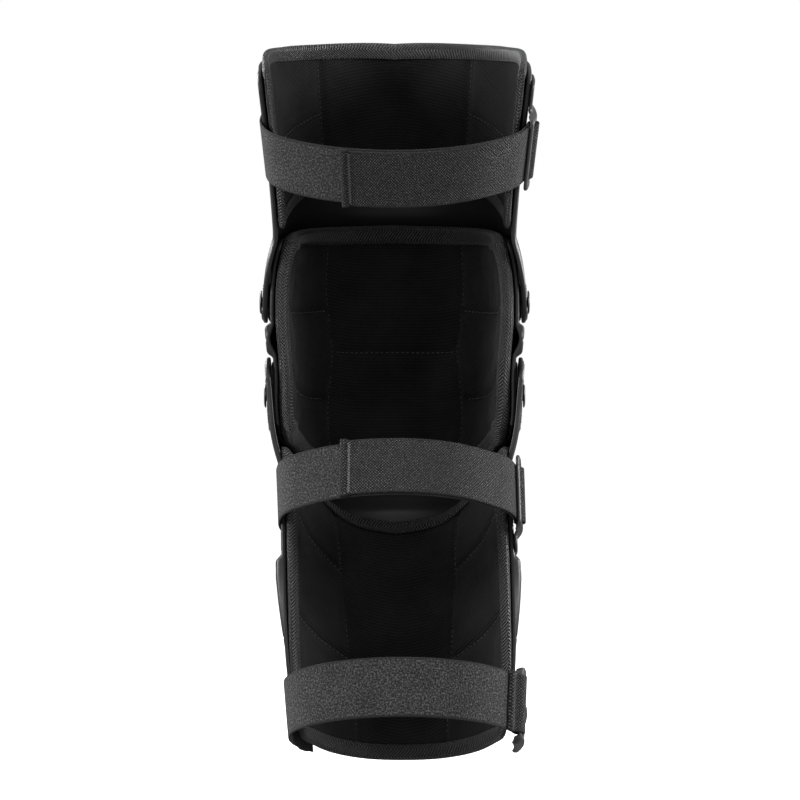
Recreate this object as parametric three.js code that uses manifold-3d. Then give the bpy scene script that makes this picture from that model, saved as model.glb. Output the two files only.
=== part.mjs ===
// Motocross knee guard for a right leg, in millimetres.
// +Z is up, the front of the guard faces -Y, and the wearer's left is +X.
// The origin is the middle of the knee, halfway between the upper and lower hinge axes.
// Three sections hang on four rivets: the knee cup in the middle, the thigh plate above it
// and the shin plate below it. Each plate carries its own pad, straps and clips.
//
// Every curved piece is a surface over two numbers: a turn round the leg, in radians from the
// front, and a distance along the limb from the hinge axis.

import * as THREE from "three";
import { mergeVertices } from "three/addons/utils/BufferGeometryUtils.js";
import Module from "manifold-3d";

const wasm = await Module();
wasm.setup();

// Hinges and posture
const hingeRise = 31.5; // height of each hinge axis above or below the origin
const thighTilt = 20; // degrees that the thigh leans back, going up
const shinTilt = 18; // degrees that the shin leans back, going down
const thighExtend = 20; // swing from that posture towards a straight leg
const thighFlex = 22; // swing towards a bent leg
const shinExtend = 18;
const shinFlex = 30;

// Walls and clearances
const wall = 2.8; // moulded plastic
const runGap = 1.5; // a plate gliding over the cup
const seatGap = 0.35; // a piece resting on its neighbour
const padGap = 1; // a pad under its faceted plate
const strapGap = 0.8; // a strap over a plate
const holeGap = 0.35; // a shank in its hole

// Knee cup: a barrel about the two hinge axes, measured on its outer face
const cupUpperHalf = 84; // half width at the upper hinge
const cupTaper = 3; // how much narrower each side is at the lower hinge
const cupLowerHalf = cupUpperHalf - cupTaper;
const cupRadius = 92; // from a hinge axis to the front
const cupSquareness = 2.3;
const cupBridge = 3.4; // swelling of each wing between its two hinges
const cupTop = 54; // front edge above the upper axis
const cupBottom = 57; // front edge below the lower axis
const wingTop = 43; // wing edge above the upper axis
const wingBottom = 28; // wing edge below the lower axis
const kneePadThick = 12.5;
const rimThick = 5.5; // bound edge of every thick pad
const kneePadTop = 46.5; // pad edge at the side, above the upper axis
const kneePadBottom = 32.5; // pad edge at the side, below the lower axis

// Thigh section
const thighLength = 170;
const thighHalf = 82.6; // half width of the leg space
const thighFront = 84; // from the axis to the front of the leg space
const thighRear = 73; // from the axis to the back of the leg space
const thighPadSide = 3.6;
const thighPadFace = 10;
const thighPadLow = 52; // pad edge at the side, above the axis
const thighPadLowFront = 71; // pad edge at the front
const skirtDrop = 10; // front edge of the skirt, below the axis
const armRadius = 14; // round end of each arm about its rivet

// Shin section
const shinLength = 240;
const shinHalf = 67;
const shinFront = 58;
const shinRear = 72;
const shinDrift = 5.6; // outward lean of the lower leg over its length
const shinPadSide = 8.8;
const shinPadFace = 10;
const shinPadTop = 36; // pad edge at the side, below the axis
const shinPadTopFront = 70; // pad edge at the front
const shinRise = 13; // front edge of the plate, above the axis
const earRadius = 26; // round lobe of the plate about its rivet

// Rivets
const shankRadius = 3.5;
const headRadius = 8;
const headRise = 1.3;
const tailRadius = 6.5;
const tailRise = 1.2;

// Straps, clips and their fittings
const strapWidth = 38;
const strapThick = 1.4;
const layerGap = 0.5;
const thighStrapInset = 61; // middle of the strap below the top of the thigh
const thighStrapAt = thighLength - thighStrapInset;
const upperCalfStrapAt = 72; // along the shin
const lowerCalfStrapInset = 23; // middle of the strap above the bottom of the shin
const lowerCalfStrapAt = shinLength - lowerCalfStrapInset;
const clipThick = 2.2;
const clipHeight = 51;
const barWidth = 4.2;
const slotWidth = 7;
const clipFront = 17; // clip ahead of the middle of the leg
const thighLug = 21; // lug past the end of the thigh clip
const calfLug = 12;
const postRadius = 3.2;
const postHeadRadius = 6.5;
const postHeadRise = 1.4;
const anchorWidth = 13;
const anchorThick = 2;
const anchorTurn = 62; // degrees from the front
const strapStart = 56;
const pinRadius = 2.2;

const rad = THREE.MathUtils.degToRad;
const deg = THREE.MathUtils.radToDeg;
const { lerp, clamp, smoothstep } = THREE.MathUtils;

// Leg space of each limb. `at` is a share of the limb's length; half, front, rear and drift
// are shares of the sizes above, and side and face are shares of the pad's thickness.
const thighRows = [
  { at: 0.00, half: 0.85, front: 0.93, rear: 0.82, drift: 0, side: 1.0, face: 1.0 },
  { at: 0.30, half: 0.89, front: 0.94, rear: 0.88, drift: 0, side: 1.0, face: 1.0 },
  { at: 0.52, half: 0.92, front: 0.96, rear: 0.95, drift: 0, side: 1.0, face: 1.1 },
  { at: 0.75, half: 0.97, front: 1.00, rear: 1.00, drift: 0, side: 0.9, face: 1.1 },
  { at: 0.89, half: 0.995, front: 1.02, rear: 1.01, drift: 0, side: 1.0, face: 1.0 },
  { at: 1.00, half: 1.01, front: 1.03, rear: 1.01, drift: 0, side: 1.0, face: 0.9 },
];
const shinRows = [
  { at: 0.00, half: 0.99, front: 1.22, rear: 0.83, drift: 0.00, side: 1.00, face: 1.0 },
  { at: 0.15, half: 0.97, front: 1.12, rear: 0.90, drift: 0.00, side: 1.00, face: 1.0 },
  { at: 0.30, half: 0.96, front: 1.03, rear: 0.96, drift: 0.20, side: 1.00, face: 1.0 },
  { at: 0.50, half: 0.99, front: 0.99, rear: 1.02, drift: 0.45, side: 0.80, face: 1.0 },
  { at: 0.75, half: 1.00, front: 0.96, rear: 0.97, drift: 0.72, side: 0.60, face: 0.9 },
  { at: 0.90, half: 0.98, front: 0.94, rear: 0.91, drift: 0.87, side: 0.52, face: 0.8 },
  { at: 1.00, half: 0.96, front: 0.92, rear: 0.87, drift: 1.00, side: 0.50, face: 0.8 },
];

const thigh = {
  up: 1,
  tilt: thighTilt,
  extend: thighExtend,
  flex: thighFlex,
  length: thighLength,
  half: thighHalf,
  front: thighFront,
  rear: thighRear,
  drift: 0,
  side: thighPadSide,
  face: thighPadFace,
  rows: thighRows,
};
const shin = {
  up: -1,
  tilt: shinTilt,
  extend: shinExtend,
  flex: shinFlex,
  length: shinLength,
  half: shinHalf,
  front: shinFront,
  rear: shinRear,
  drift: -shinDrift,
  side: shinPadSide,
  face: shinPadFace,
  rows: shinRows,
};

// Value of one column of a table, smooth between its rows.
function read(rows, column, at) {
  let i = 1;
  while (i < rows.length - 1 && rows[i].at < at) i += 1;
  const p = rows[i - 1];
  const q = rows[i];
  const slope = (a, b) => (b[column] - a[column]) / (b.at - a.at);
  const middle = slope(p, q);
  const before = i > 1 ? (middle + slope(rows[i - 2], p)) / 2 : middle;
  const after = i < rows.length - 1 ? (middle + slope(q, rows[i + 1])) / 2 : middle;
  const span = q.at - p.at;
  const t = clamp((at - p.at) / span, 0, 1);
  const a = (1 + 2 * t) * (1 - t) ** 2;
  const b = t * (1 - t) ** 2;
  const c = t * t * (3 - 2 * t);
  const d = t * t * (t - 1);
  return a * p[column] + b * span * before + c * q[column] + d * span * after;
}

// The larger of two radii, with the crease between them eased over k.
function easedMax(a, b, k = 2) {
  return (a + b + Math.sqrt((a - b) ** 2 + k * k)) / 2;
}

// Radius of a limb's leg space in one direction, grown by a share of the pad and a gap.
function limbRadius(limb, turn, along, padShare, gap) {
  const at = along / limb.length;
  const side = limb.side * read(limb.rows, "side", at) * padShare + gap;
  const face = limb.face * read(limb.rows, "face", at) * padShare + gap;
  const half = limb.half * read(limb.rows, "half", at) + side;
  const front = limb.front * read(limb.rows, "front", at) + face;
  const rear = limb.rear * read(limb.rows, "rear", at) + side;
  const depth = Math.cos(turn) > 0 ? front : rear;
  return 1 / Math.hypot(Math.sin(turn) / half, Math.cos(turn) / depth);
}

function limbShift(limb, along) {
  return limb.drift * read(limb.rows, "drift", along / limb.length);
}

// Half width of the cup at a height: level beside each rivet, narrower towards the lower one,
// with a swelling halfway down each wing, where neither an arm nor an ear reaches.
function cupHalf(z, swelling = cupBridge) {
  const level = hingeRise - headRadius;
  const up = smoothstep(z, -level, level);
  const bandMiddle = (hingeRise - armRadius + earRadius - hingeRise) / 2;
  const bandHalf = (2 * hingeRise - armRadius - earRadius) / 2;
  const off = clamp(Math.abs(z - bandMiddle) / bandHalf, 0, 1);
  const bridge = swelling * (1 - off * off) ** 2;
  return lerp(cupLowerHalf, cupUpperHalf, up) + bridge;
}

// Whether a point lies outside the cup's barrel when it is grown by an offset.
function outsideCup(x, y, z, offset, swelling) {
  const over = Math.max(Math.abs(z) - hingeRise, 0);
  const across = Math.abs(x) / (cupHalf(z, swelling) + offset);
  const around = Math.hypot(y, over) / (cupRadius + offset);
  return across ** cupSquareness + around ** cupSquareness >= 1;
}

// The smallest radius that a test accepts.
function firstFree(test) {
  let low = 0;
  let high = 160;
  for (let step = 0; step < 26; step += 1) {
    const middle = (low + high) / 2;
    if (test(middle)) high = middle;
    else low = middle;
  }
  return high;
}

function cupRadiusAt(turn, z, offset, swelling) {
  return firstFree((s) => outsideCup(s * Math.sin(turn), s * Math.cos(turn), z, offset, swelling));
}

// Radius at which a limb's plate clears the cup through its whole swing.
function sweptRadius(limb, turn, along) {
  const tilts = [0, 0.25, 0.5, 0.75, 1].map((t) => rad(limb.tilt + lerp(-limb.extend, limb.flex, t)));
  const shift = limbShift(limb, along);
  return firstFree((s) => {
    const x = shift + s * Math.sin(turn);
    const y = -s * Math.cos(turn);
    return tilts.every((tilt) => {
      const height = hingeRise - y * Math.sin(tilt) + along * Math.cos(tilt);
      const depth = y * Math.cos(tilt) + along * Math.sin(tilt);
      return outsideCup(x, depth, limb.up * height, runGap);
    });
  });
}

function plateInner(limb, turn, along) {
  const padded = limbRadius(limb, turn, along, 1, padGap);
  return easedMax(padded, sweptRadius(limb, turn, along));
}

// A point of a limb, from its turn, its distance along and its radius.
function limbPoint(limb, turn, along, radius) {
  return [limbShift(limb, along) + radius * Math.sin(turn), -radius * Math.cos(turn), along];
}

function cupPoint(turn, z, offset, swelling = cupBridge) {
  const radius = cupRadiusAt(turn, z, offset, swelling);
  return [radius * Math.sin(turn), -radius * Math.cos(turn), z];
}

// A trimmed patch of a curved wall. Each edge runs from the middle of the front to the rear
// edge, and the rear edge runs from the low corner to the high one. Points are [degrees, mm].
function patch(low, high, rear) {
  const curve = (points) => new THREE.SplineCurve(points.map(([turn, along]) => new THREE.Vector2(turn, along)));
  const lowCurve = curve(low);
  const highCurve = curve(high);
  const rearCurve = curve([low[low.length - 1], ...rear, high[high.length - 1]]);
  return (u, v) => {
    const out = Math.abs(u);
    const mix = (t) => lowCurve.getPoint(t).lerp(highCurve.getPoint(t), v);
    const point = mix(out);
    const bow = rearCurve.getPoint(v).sub(mix(1));
    point.addScaledVector(bow, out * out);
    return { turn: rad(point.x) * Math.sign(u), along: point.y, out, v };
  };
}

// A closed body between an outer and an inner face over the unit square.
function solid(columns, rows, outer, inner) {
  const points = [];
  for (const face of [outer, inner]) {
    for (let i = 0; i <= columns; i += 1) {
      for (let j = 0; j <= rows; j += 1) {
        points.push(...face(i / columns, j / rows));
      }
    }
  }
  const at = (layer, i, j) => (layer * (columns + 1) + i) * (rows + 1) + j;
  const index = [];
  const quad = (a, b, c, d) => index.push(a, b, c, a, c, d);
  for (let i = 0; i < columns; i += 1) {
    for (let j = 0; j < rows; j += 1) {
      quad(at(0, i, j), at(0, i + 1, j), at(0, i + 1, j + 1), at(0, i, j + 1));
      quad(at(1, i, j), at(1, i, j + 1), at(1, i + 1, j + 1), at(1, i + 1, j));
    }
    quad(at(1, i, 0), at(1, i + 1, 0), at(0, i + 1, 0), at(0, i, 0));
    quad(at(0, i, rows), at(0, i + 1, rows), at(1, i + 1, rows), at(1, i, rows));
  }
  for (let j = 0; j < rows; j += 1) {
    quad(at(0, 0, j), at(0, 0, j + 1), at(1, 0, j + 1), at(1, 0, j));
    quad(at(1, columns, j), at(1, columns, j + 1), at(0, columns, j + 1), at(0, columns, j));
  }
  return facingOut(points, index);
}

// A geometry whose triangles face outwards, whichever way they were wound.
function facingOut(points, index) {
  let volume = 0;
  const corner = (k) => new THREE.Vector3().fromArray(points, 3 * index[k]);
  for (let k = 0; k < index.length; k += 3) {
    volume += corner(k).dot(corner(k + 1).cross(corner(k + 2)));
  }
  const wound = [...index];
  if (volume < 0) wound.reverse();
  const geometry = new THREE.BufferGeometry();
  geometry.setAttribute("position", new THREE.Float32BufferAttribute(points, 3));
  geometry.setIndex(wound);
  return geometry;
}

function toSolid(source) {
  const bare = source.clone();
  bare.deleteAttribute("normal");
  bare.deleteAttribute("uv");
  const merged = mergeVertices(bare, 1e-4);
  const mesh = new wasm.Mesh({
    numProp: 3,
    vertProperties: new Float32Array(merged.attributes.position.array),
    triVerts: new Uint32Array(merged.index.array),
  });
  return new wasm.Manifold(mesh);
}

function toGeometry(body) {
  const mesh = body.getMesh();
  return facingOut(Array.from(mesh.vertProperties), Array.from(mesh.triVerts));
}

function carve(source, { add = [], cut = [], trim = [] }) {
  let body = toSolid(source);
  for (const tool of add) body = body.add(toSolid(tool));
  for (const tool of trim) body = body.intersect(toSolid(tool));
  for (const tool of cut) body = body.subtract(toSolid(tool));
  return toGeometry(body);
}

// Matrix that sets a tool on a limb: its x runs round the leg, its y along it, its z outwards,
// square to a wall whose radius grows by `slope` along the limb.
function facing(limb, turn, along, radius, slope = 0) {
  const outwards = new THREE.Vector3(Math.sin(turn), -Math.cos(turn), 0);
  const round = new THREE.Vector3(Math.cos(turn), Math.sin(turn), 0);
  const matrix = new THREE.Matrix4().makeBasis(round, new THREE.Vector3(0, 0, 1), outwards);
  matrix.multiply(new THREE.Matrix4().makeRotationX(Math.atan(slope)));
  return matrix.setPosition(...limbPoint(limb, turn, along, radius));
}

// A bar with round ends, through a wall, as a cutting tool.
function slotTool(width, length, depth) {
  const end = width / 2;
  const reach = Math.max(length / 2 - end, 0.01);
  const shape = new THREE.Shape();
  shape.absarc(0, reach, end, 0, Math.PI);
  shape.absarc(0, -reach, end, Math.PI, 2 * Math.PI);
  const tool = new THREE.ExtrudeGeometry(shape, { depth, bevelEnabled: false, curveSegments: 3 });
  return tool.translate(0, 0, -depth / 2);
}

function pinTool(radius, depth, sides = 12) {
  return new THREE.CylinderGeometry(radius, radius, depth, sides).rotateX(Math.PI / 2);
}

// Knee cup and its pad
const cupPatch = patch(
  [
    [0, -hingeRise - cupBottom],
    [30, -hingeRise - 0.97 * cupBottom],
    [55, -hingeRise - 0.8 * cupBottom],
    [75, -hingeRise - 1.2 * wingBottom],
    [90, -hingeRise - wingBottom],
    [99, -hingeRise - 0.7 * wingBottom],
  ],
  [
    [0, hingeRise + cupTop],
    [30, hingeRise + 0.97 * cupTop],
    [58, hingeRise + 0.91 * cupTop],
    [80, hingeRise + 1.02 * wingTop],
    [94, hingeRise + 0.96 * wingTop],
    [100, hingeRise + 0.8 * wingTop],
  ],
  [
    [101.5, -0.4 * hingeRise],
    [102, 0.5 * hingeRise],
    [102, hingeRise + 0.35 * wingTop],
  ],
);
const kneePadPatch = patch(
  [
    [0, -hingeRise - cupBottom - 1],
    [30, -hingeRise - cupBottom],
    [55, -hingeRise - 0.84 * cupBottom],
    [75, -hingeRise - 1.08 * kneePadBottom],
    [92, -hingeRise - 0.97 * kneePadBottom],
    [103, -hingeRise - 0.72 * kneePadBottom],
  ],
  [
    [0, hingeRise + cupTop + 1.5],
    [30, hingeRise + cupTop],
    [58, hingeRise + 0.95 * cupTop],
    [80, hingeRise + 1.02 * kneePadTop],
    [96, hingeRise + 0.95 * kneePadTop],
    [104, hingeRise + 0.8 * kneePadTop],
  ],
  [
    [106.5, -0.4 * hingeRise],
    [107, 0.5 * hingeRise],
    [106.5, hingeRise + 0.35 * kneePadTop],
  ],
);

// Soft thickness of a pad: full in the middle, easing to its bound rim at every edge.
function padThickness(full, rim, { out, v }) {
  const fromEdge = Math.min(1 - out, 2 * v, 2 * (1 - v)) / 0.34;
  return lerp(rim, full, Math.sin(clamp(fromEdge, 0, 1) * Math.PI / 2));
}

// `crowd` above 1 draws the rows together towards the low edge.
function wallOver(shape, columns, rows, outer, inner, crowd = 1) {
  const place = (i, j) => shape(2 * i - 1, j ** crowd);
  return solid(columns, rows, (i, j) => outer(place(i, j)), (i, j) => inner(place(i, j)));
}

const hinges = [
  { z: hingeRise, half: cupUpperHalf },
  { z: -hingeRise, half: cupLowerHalf },
];
const hingeHole = (z, radius, near, far) => [1, -1].map((side) => {
  const tool = new THREE.CylinderGeometry(radius, radius, far - near, 10).rotateZ(Math.PI / 2);
  return tool.translate(side * (near + far) / 2, 0, z);
});

const cupShell = wallOver(
  cupPatch, 24, 12,
  (p) => cupPoint(p.turn, p.along, 0),
  (p) => cupPoint(p.turn, p.along, -wall),
);
// Raised shield in the middle of the cup, in the band that no skirt reaches.
const shieldHigh = hingeRise - skirtDrop - 5;
const shieldLow = hingeRise - shinRise - 5;
const shieldEdge = (z, ease) => [[0, z], [24, z], [40, z + ease]];
const shieldPatch = patch(shieldEdge(-shieldLow, 6), shieldEdge(shieldHigh, -6), []);
const cupShield = wallOver(
  shieldPatch, 6, 1,
  (p) => cupPoint(p.turn, p.along, 2.2),
  (p) => cupPoint(p.turn, p.along, -wall / 2),
);
const kneeCup = carve(cupShell, {
  add: [cupShield],
  cut: hinges.flatMap(({ z, half }) => hingeHole(z, shankRadius + holeGap, half - 12, half + 12)),
});
const kneePadShell = wallOver(
  kneePadPatch, 18, 8,
  (p) => cupPoint(p.turn, p.along, -wall - padGap, 0),
  (p) => cupPoint(p.turn, p.along, -wall - padGap - padThickness(kneePadThick, rimThick, p), 0),
);
const kneePad = carve(kneePadShell, {
  cut: hinges.flatMap(({ z, half }) => {
    return hingeHole(z, tailRadius + holeGap, half - wall - tailRise - 3 * seatGap, half + 12);
  }),
});

// Plates of the two limbs
function armEnd(radius, degPerMmHere, from, to, count) {
  return Array.from({ length: count + 1 }, (_, k) => {
    const swing = rad(lerp(from, to, k / count));
    return [90 + radius * Math.sin(swing) * degPerMmHere, -radius * Math.cos(swing)];
  });
}
const thighDegPerMm = deg(1 / (cupUpperHalf + runGap + wall));
const thighPlatePatch = patch(
  [
    [0, -skirtDrop],
    [26, -0.8 * skirtDrop],
    [48, 0.1 * skirtDrop],
    [64, 0.5 * skirtDrop],
    ...armEnd(armRadius, thighDegPerMm, -62, 90, 5),
  ],
  [
    [0, 0.875 * thighLength],
    [14, 0.88 * thighLength],
    [28, 0.895 * thighLength],
    [40, 0.91 * thighLength],
    [52, 0.925 * thighLength],
    [64, 0.94 * thighLength],
    [76, 0.955 * thighLength],
    [86, 0.955 * thighLength],
    [93, 0.93 * thighLength],
    [96, 0.88 * thighLength],
  ],
  [
    [99.5, 0.14 * thighLength],
    [98, 0.32 * thighLength],
    [96, 0.55 * thighLength],
    [96.5, 0.75 * thighLength],
  ],
);
const shinDegPerMm = deg(1 / (cupLowerHalf + runGap + wall));
const shinPlatePatch = patch(
  [
    [0, -shinRise],
    [24, -0.9 * shinRise],
    [44, -0.4 * shinRise],
    [60, 0],
    ...armEnd(earRadius, shinDegPerMm, -58, 80, 6),
  ],
  [
    [0, 0.965 * shinLength],
    [14, 0.965 * shinLength],
    [26, 0.962 * shinLength],
    [38, 0.957 * shinLength],
    [48, 0.95 * shinLength],
    [56, 0.94 * shinLength],
    [63, 0.93 * shinLength],
    [69, 0.915 * shinLength],
    [74, 0.895 * shinLength],
    [78, 0.87 * shinLength],
    [80, 0.84 * shinLength],
  ],
  [
    [101, 0.12 * shinLength],
    [94, 0.27 * shinLength],
    [94, 0.45 * shinLength],
    [92, 0.6 * shinLength],
    [86, 0.74 * shinLength],
  ],
);

// Raised areas of each plate: the middle of each in degrees and in shares of the limb's
// length, their half sizes in the same units, and how far they rise.
const thighRelief = [
  { turn: 0, along: 0.56, halfTurn: 15, halfAlong: 0.36, rise: 3.2 },
  { turn: 60, along: 0.36, halfTurn: 17, halfAlong: 0.12, rise: 1.6 },
];
const shinRelief = [
  { turn: 0, along: 0.58, halfTurn: 13, halfAlong: 0.40, rise: 3.6 },
  { turn: 74, along: 0.575, halfTurn: 24, halfAlong: 0.115, rise: 4.2 },
];
function reliefAt(limb, turn, along) {
  const plateau = (distance) => 1 - smoothstep(distance, 0.62, 1);
  return limb.relief.reduce((total, area) => {
    const round = Math.abs(Math.abs(deg(turn)) - area.turn) / area.halfTurn;
    const up = Math.abs(along / limb.length - area.along) / area.halfAlong;
    return total + area.rise * plateau(round) * plateau(up);
  }, 0);
}
thigh.relief = thighRelief;
shin.relief = shinRelief;

const innerFace = (limb) => (p) => {
  return limbPoint(limb, p.turn, p.along, plateInner(limb, p.turn, p.along));
};
const outerFace = (limb) => (p) => {
  const lift = wall + reliefAt(limb, p.turn, p.along);
  return limbPoint(limb, p.turn, p.along, plateInner(limb, p.turn, p.along) + lift);
};

const bothSides = (make) => [1, -1].flatMap(make);

// Slanted vents beside the spine of a plate.
function vents(limb, rows, width, length) {
  return rows.flatMap(([turn, along, slant]) => bothSides((side) => {
    const tool = slotTool(width, length, 60).rotateZ(side * rad(slant));
    return [tool.applyMatrix4(facing(limb, side * rad(turn), along, limb.front))];
  }));
}

const thighPlate = carve(wallOver(thighPlatePatch, 26, 10, outerFace(thigh), innerFace(thigh), 1.35), {
  cut: [
    ...vents(thigh, [
      [27, 0.52 * thighLength, 24],
      [41, 0.70 * thighLength, 24],
    ], 8, 28),
    ...hingeHole(0, shankRadius + holeGap, cupUpperHalf - 10, cupUpperHalf + 14),
    ...anchorPins(thigh, thighStrapAt, holeGap),
  ],
});

const shinPlate = carve(wallOver(shinPlatePatch, 24, 14, outerFace(shin), innerFace(shin), 1.4), {
  cut: [
    ...vents(shin, [
      [26, 0.40 * shinLength, -22],
      [26, 0.58 * shinLength, -22],
      [26, 0.76 * shinLength, -22],
    ], 8, 28),
    ...hingeHole(0, shankRadius + holeGap, cupLowerHalf - 10, cupLowerHalf + 14),
    ...anchorPins(shin, upperCalfStrapAt, holeGap),
    ...anchorPins(shin, lowerCalfStrapAt, holeGap),
  ],
});

// Pads of the two limbs
const thighPadPatch = patch(
  [
    [0, thighPadLowFront],
    [30, 0.95 * thighPadLowFront],
    [56, lerp(thighPadLow, thighPadLowFront, 0.35)],
    [76, 1.02 * thighPadLow],
    [92, 1.02 * thighPadLow],
    [101, 1.12 * thighPadLow],
  ],
  [
    [0, 0.905 * thighLength],
    [30, 0.93 * thighLength],
    [56, 0.97 * thighLength],
    [80, 1.01 * thighLength],
    [96, 1.0 * thighLength],
    [101, 0.95 * thighLength],
  ],
  [
    [102, 0.45 * thighLength],
    [101, 0.65 * thighLength],
    [101.5, 0.85 * thighLength],
  ],
);
const shinPadPatch = patch(
  [
    [0, shinPadTopFront],
    [30, 0.92 * shinPadTopFront],
    [56, lerp(shinPadTop, shinPadTopFront, 0.36)],
    [78, 1.04 * shinPadTop],
    [94, 1.06 * shinPadTop],
    [101, 1.3 * shinPadTop],
  ],
  [
    [0, 0.985 * shinLength],
    [24, 0.985 * shinLength],
    [48, 0.98 * shinLength],
    [66, 0.97 * shinLength],
    [78, 0.965 * shinLength],
    [84, 0.94 * shinLength],
  ],
  [
    [99, 0.34 * shinLength],
    [99, 0.5 * shinLength],
    [96, 0.66 * shinLength],
    [91, 0.82 * shinLength],
  ],
);
// The pad fills the space between the leg and the plate, and where no plate covers it the
// same section goes on. `share` is 1 at the leg and 0 under the plate.
function padPoint(limb, p, share) {
  const outer = plateInner(limb, p.turn, p.along) - padGap;
  const leg = limbRadius(limb, p.turn, p.along, 0, 0);
  const full = outer - leg;
  const thick = padThickness(full, Math.min(rimThick, full), p);
  return limbPoint(limb, p.turn, p.along, outer - share * thick);
}
const thighPad = wallOver(thighPadPatch, 18, 6, (p) => padPoint(thigh, p, 0), (p) => padPoint(thigh, p, 1));
const shinPad = wallOver(shinPadPatch, 18, 8, (p) => padPoint(shin, p, 0), (p) => padPoint(shin, p, 1), 1.3);

// Rivets: a pan head outside, a shank through both walls and a flat tail in the pad's pocket.
function rivet(half) {
  const armFace = half + runGap + wall;
  const inside = half - wall - seatGap;
  const outside = armFace + seatGap + 0.9;
  const profile = [
    [0, inside - tailRise],
    [tailRadius, inside - tailRise],
    [tailRadius, inside - 0.2],
    [shankRadius, inside - 0.2],
    [shankRadius, outside],
    [headRadius, outside],
    [headRadius, outside + headRise * 0.4],
    [headRadius * 0.8, outside + headRise],
    [0, outside + headRise],
  ].map(([r, along]) => new THREE.Vector2(r, along));
  return new THREE.LatheGeometry(profile, 10).rotateZ(-Math.PI / 2);
}

// Straps. The strap line is the radius of the middle of the inner layer: over the plate as
// far as its rear edge, then in one taut ellipse round the back of the leg. It is straight
// across the strap's width, so a strap and its fittings share one lean.
function strapLine(limb, level, turn) {
  const rearEdge = limb === thigh ? 98 : lerp(98, 84, smoothstep(level / limb.length, 0.5, 0.95));
  const onPlate = wall + strapGap + strapThick / 2;
  const onLeg = seatGap + strapThick / 2;
  const back = Math.abs(deg(turn) > 180 ? 360 - deg(turn) : deg(turn));
  const radiusAt = (across) => {
    const along = level + across;
    const plate = plateInner(limb, turn, along) + onPlate;
    if (back <= 90) return plate;
    const half = plateInner(limb, Math.PI / 2, along) + onPlate;
    const rear = limbRadius(limb, Math.PI, along, 0, onLeg);
    const taut = 1 / Math.hypot(Math.sin(turn) / half, Math.cos(turn) / rear);
    return lerp(Math.max(taut, plate), taut, smoothstep(back, rearEdge + 4, rearEdge + 30));
  };
  const edge = strapWidth / 2;
  const slope = (radiusAt(edge) - radiusAt(-edge)) / strapWidth;
  const across = [-1, -0.7, -0.35, 0, 0.35, 0.7, 1].map((share) => share * edge);
  return { middle: Math.max(...across.map((x) => radiusAt(x) - slope * x)), slope };
}

function strapPoint(limb, level, turn, across, lift) {
  const line = strapLine(limb, level, turn);
  return limbPoint(limb, turn, level + across, line.middle + line.slope * across + lift);
}

// Offsets of the layers from the strap line, measured outwards.
const outerLayer = strapThick + layerGap;
const barInside = outerLayer + strapThick / 2 + layerGap;
const barOutside = barInside + clipThick;
const foldLayer = barOutside + layerGap + strapThick / 2;

// Places round the leg, in degrees past the back, of the bars on the outer side.
const clipSpots = (limb, level) => {
  const half = strapLine(limb, level, rad(270)).middle;
  const step = deg(1 / half);
  const rearBar = 256;
  const slot = rearBar + barWidth * step;
  const middleBar = slot + slotWidth * step;
  const frontSlot = middleBar + barWidth * step;
  const body = frontSlot + slotWidth * step;
  const front = 270 + clipFront * step;
  return { step, rearBar, slot, middleBar, frontSlot, body, front };
};

// Path of a strap as [turn in degrees, offset]. Both layers pass inside the rear bar, and
// the fold goes round the middle bar through both slots.
function threadedPath(limb, level, start, end) {
  const { step, slot, middleBar, frontSlot } = clipSpots(limb, level);
  const clear = (layerGap + strapThick / 2) * step;
  const round = [];
  for (let turn = start; turn < middleBar - 1; turn += turn < 108 ? 7 : 10) round.push([turn, 0]);
  const back = [];
  for (let turn = slot - 1.5; turn > end + 2; turn -= turn > 250 ? 5 : 10) back.push([turn, outerLayer]);
  return [
    ...round,
    [frontSlot - 0.6, 0],
    [frontSlot + clear * 0.8, 0.5 * barInside - 0.4],
    [frontSlot + clear * 1.15, (barInside + barOutside) / 2],
    [frontSlot + clear * 0.7, foldLayer - 0.7],
    [frontSlot - 0.7, foldLayer],
    [middleBar + 0.4, foldLayer],
    [middleBar - clear * 0.9, foldLayer - 0.9],
    [middleBar - clear * 1.35, (barInside + barOutside) / 2 + 0.2],
    [slot + clear * 1.2, outerLayer + 0.5],
    ...back,
    [end, outerLayer],
  ];
}

// The lowest strap folds round the rear bar itself and ends in a short tab.
function foldedPath(limb, level, start, end) {
  const { step, rearBar, slot } = clipSpots(limb, level);
  const clear = (layerGap + strapThick / 2) * step;
  const round = [];
  for (let turn = start; turn < rearBar - 2; turn += turn < 108 ? 7 : 10) round.push([turn, 0]);
  return [
    ...round,
    [slot - 1, 0],
    [slot + clear * 0.6, 0.5 * barInside - 0.6],
    [slot + clear * 1.15, (barInside + barOutside) / 2],
    [slot + clear * 0.7, foldLayer - 0.7],
    [slot - 0.6, foldLayer],
    [rearBar + 0.4, foldLayer],
    [rearBar - clear * 1.1, foldLayer - 0.7],
    [rearBar - clear * 3.2, outerLayer + 0.8],
    [rearBar - clear * 5, outerLayer],
    [end, outerLayer],
  ];
}

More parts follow.
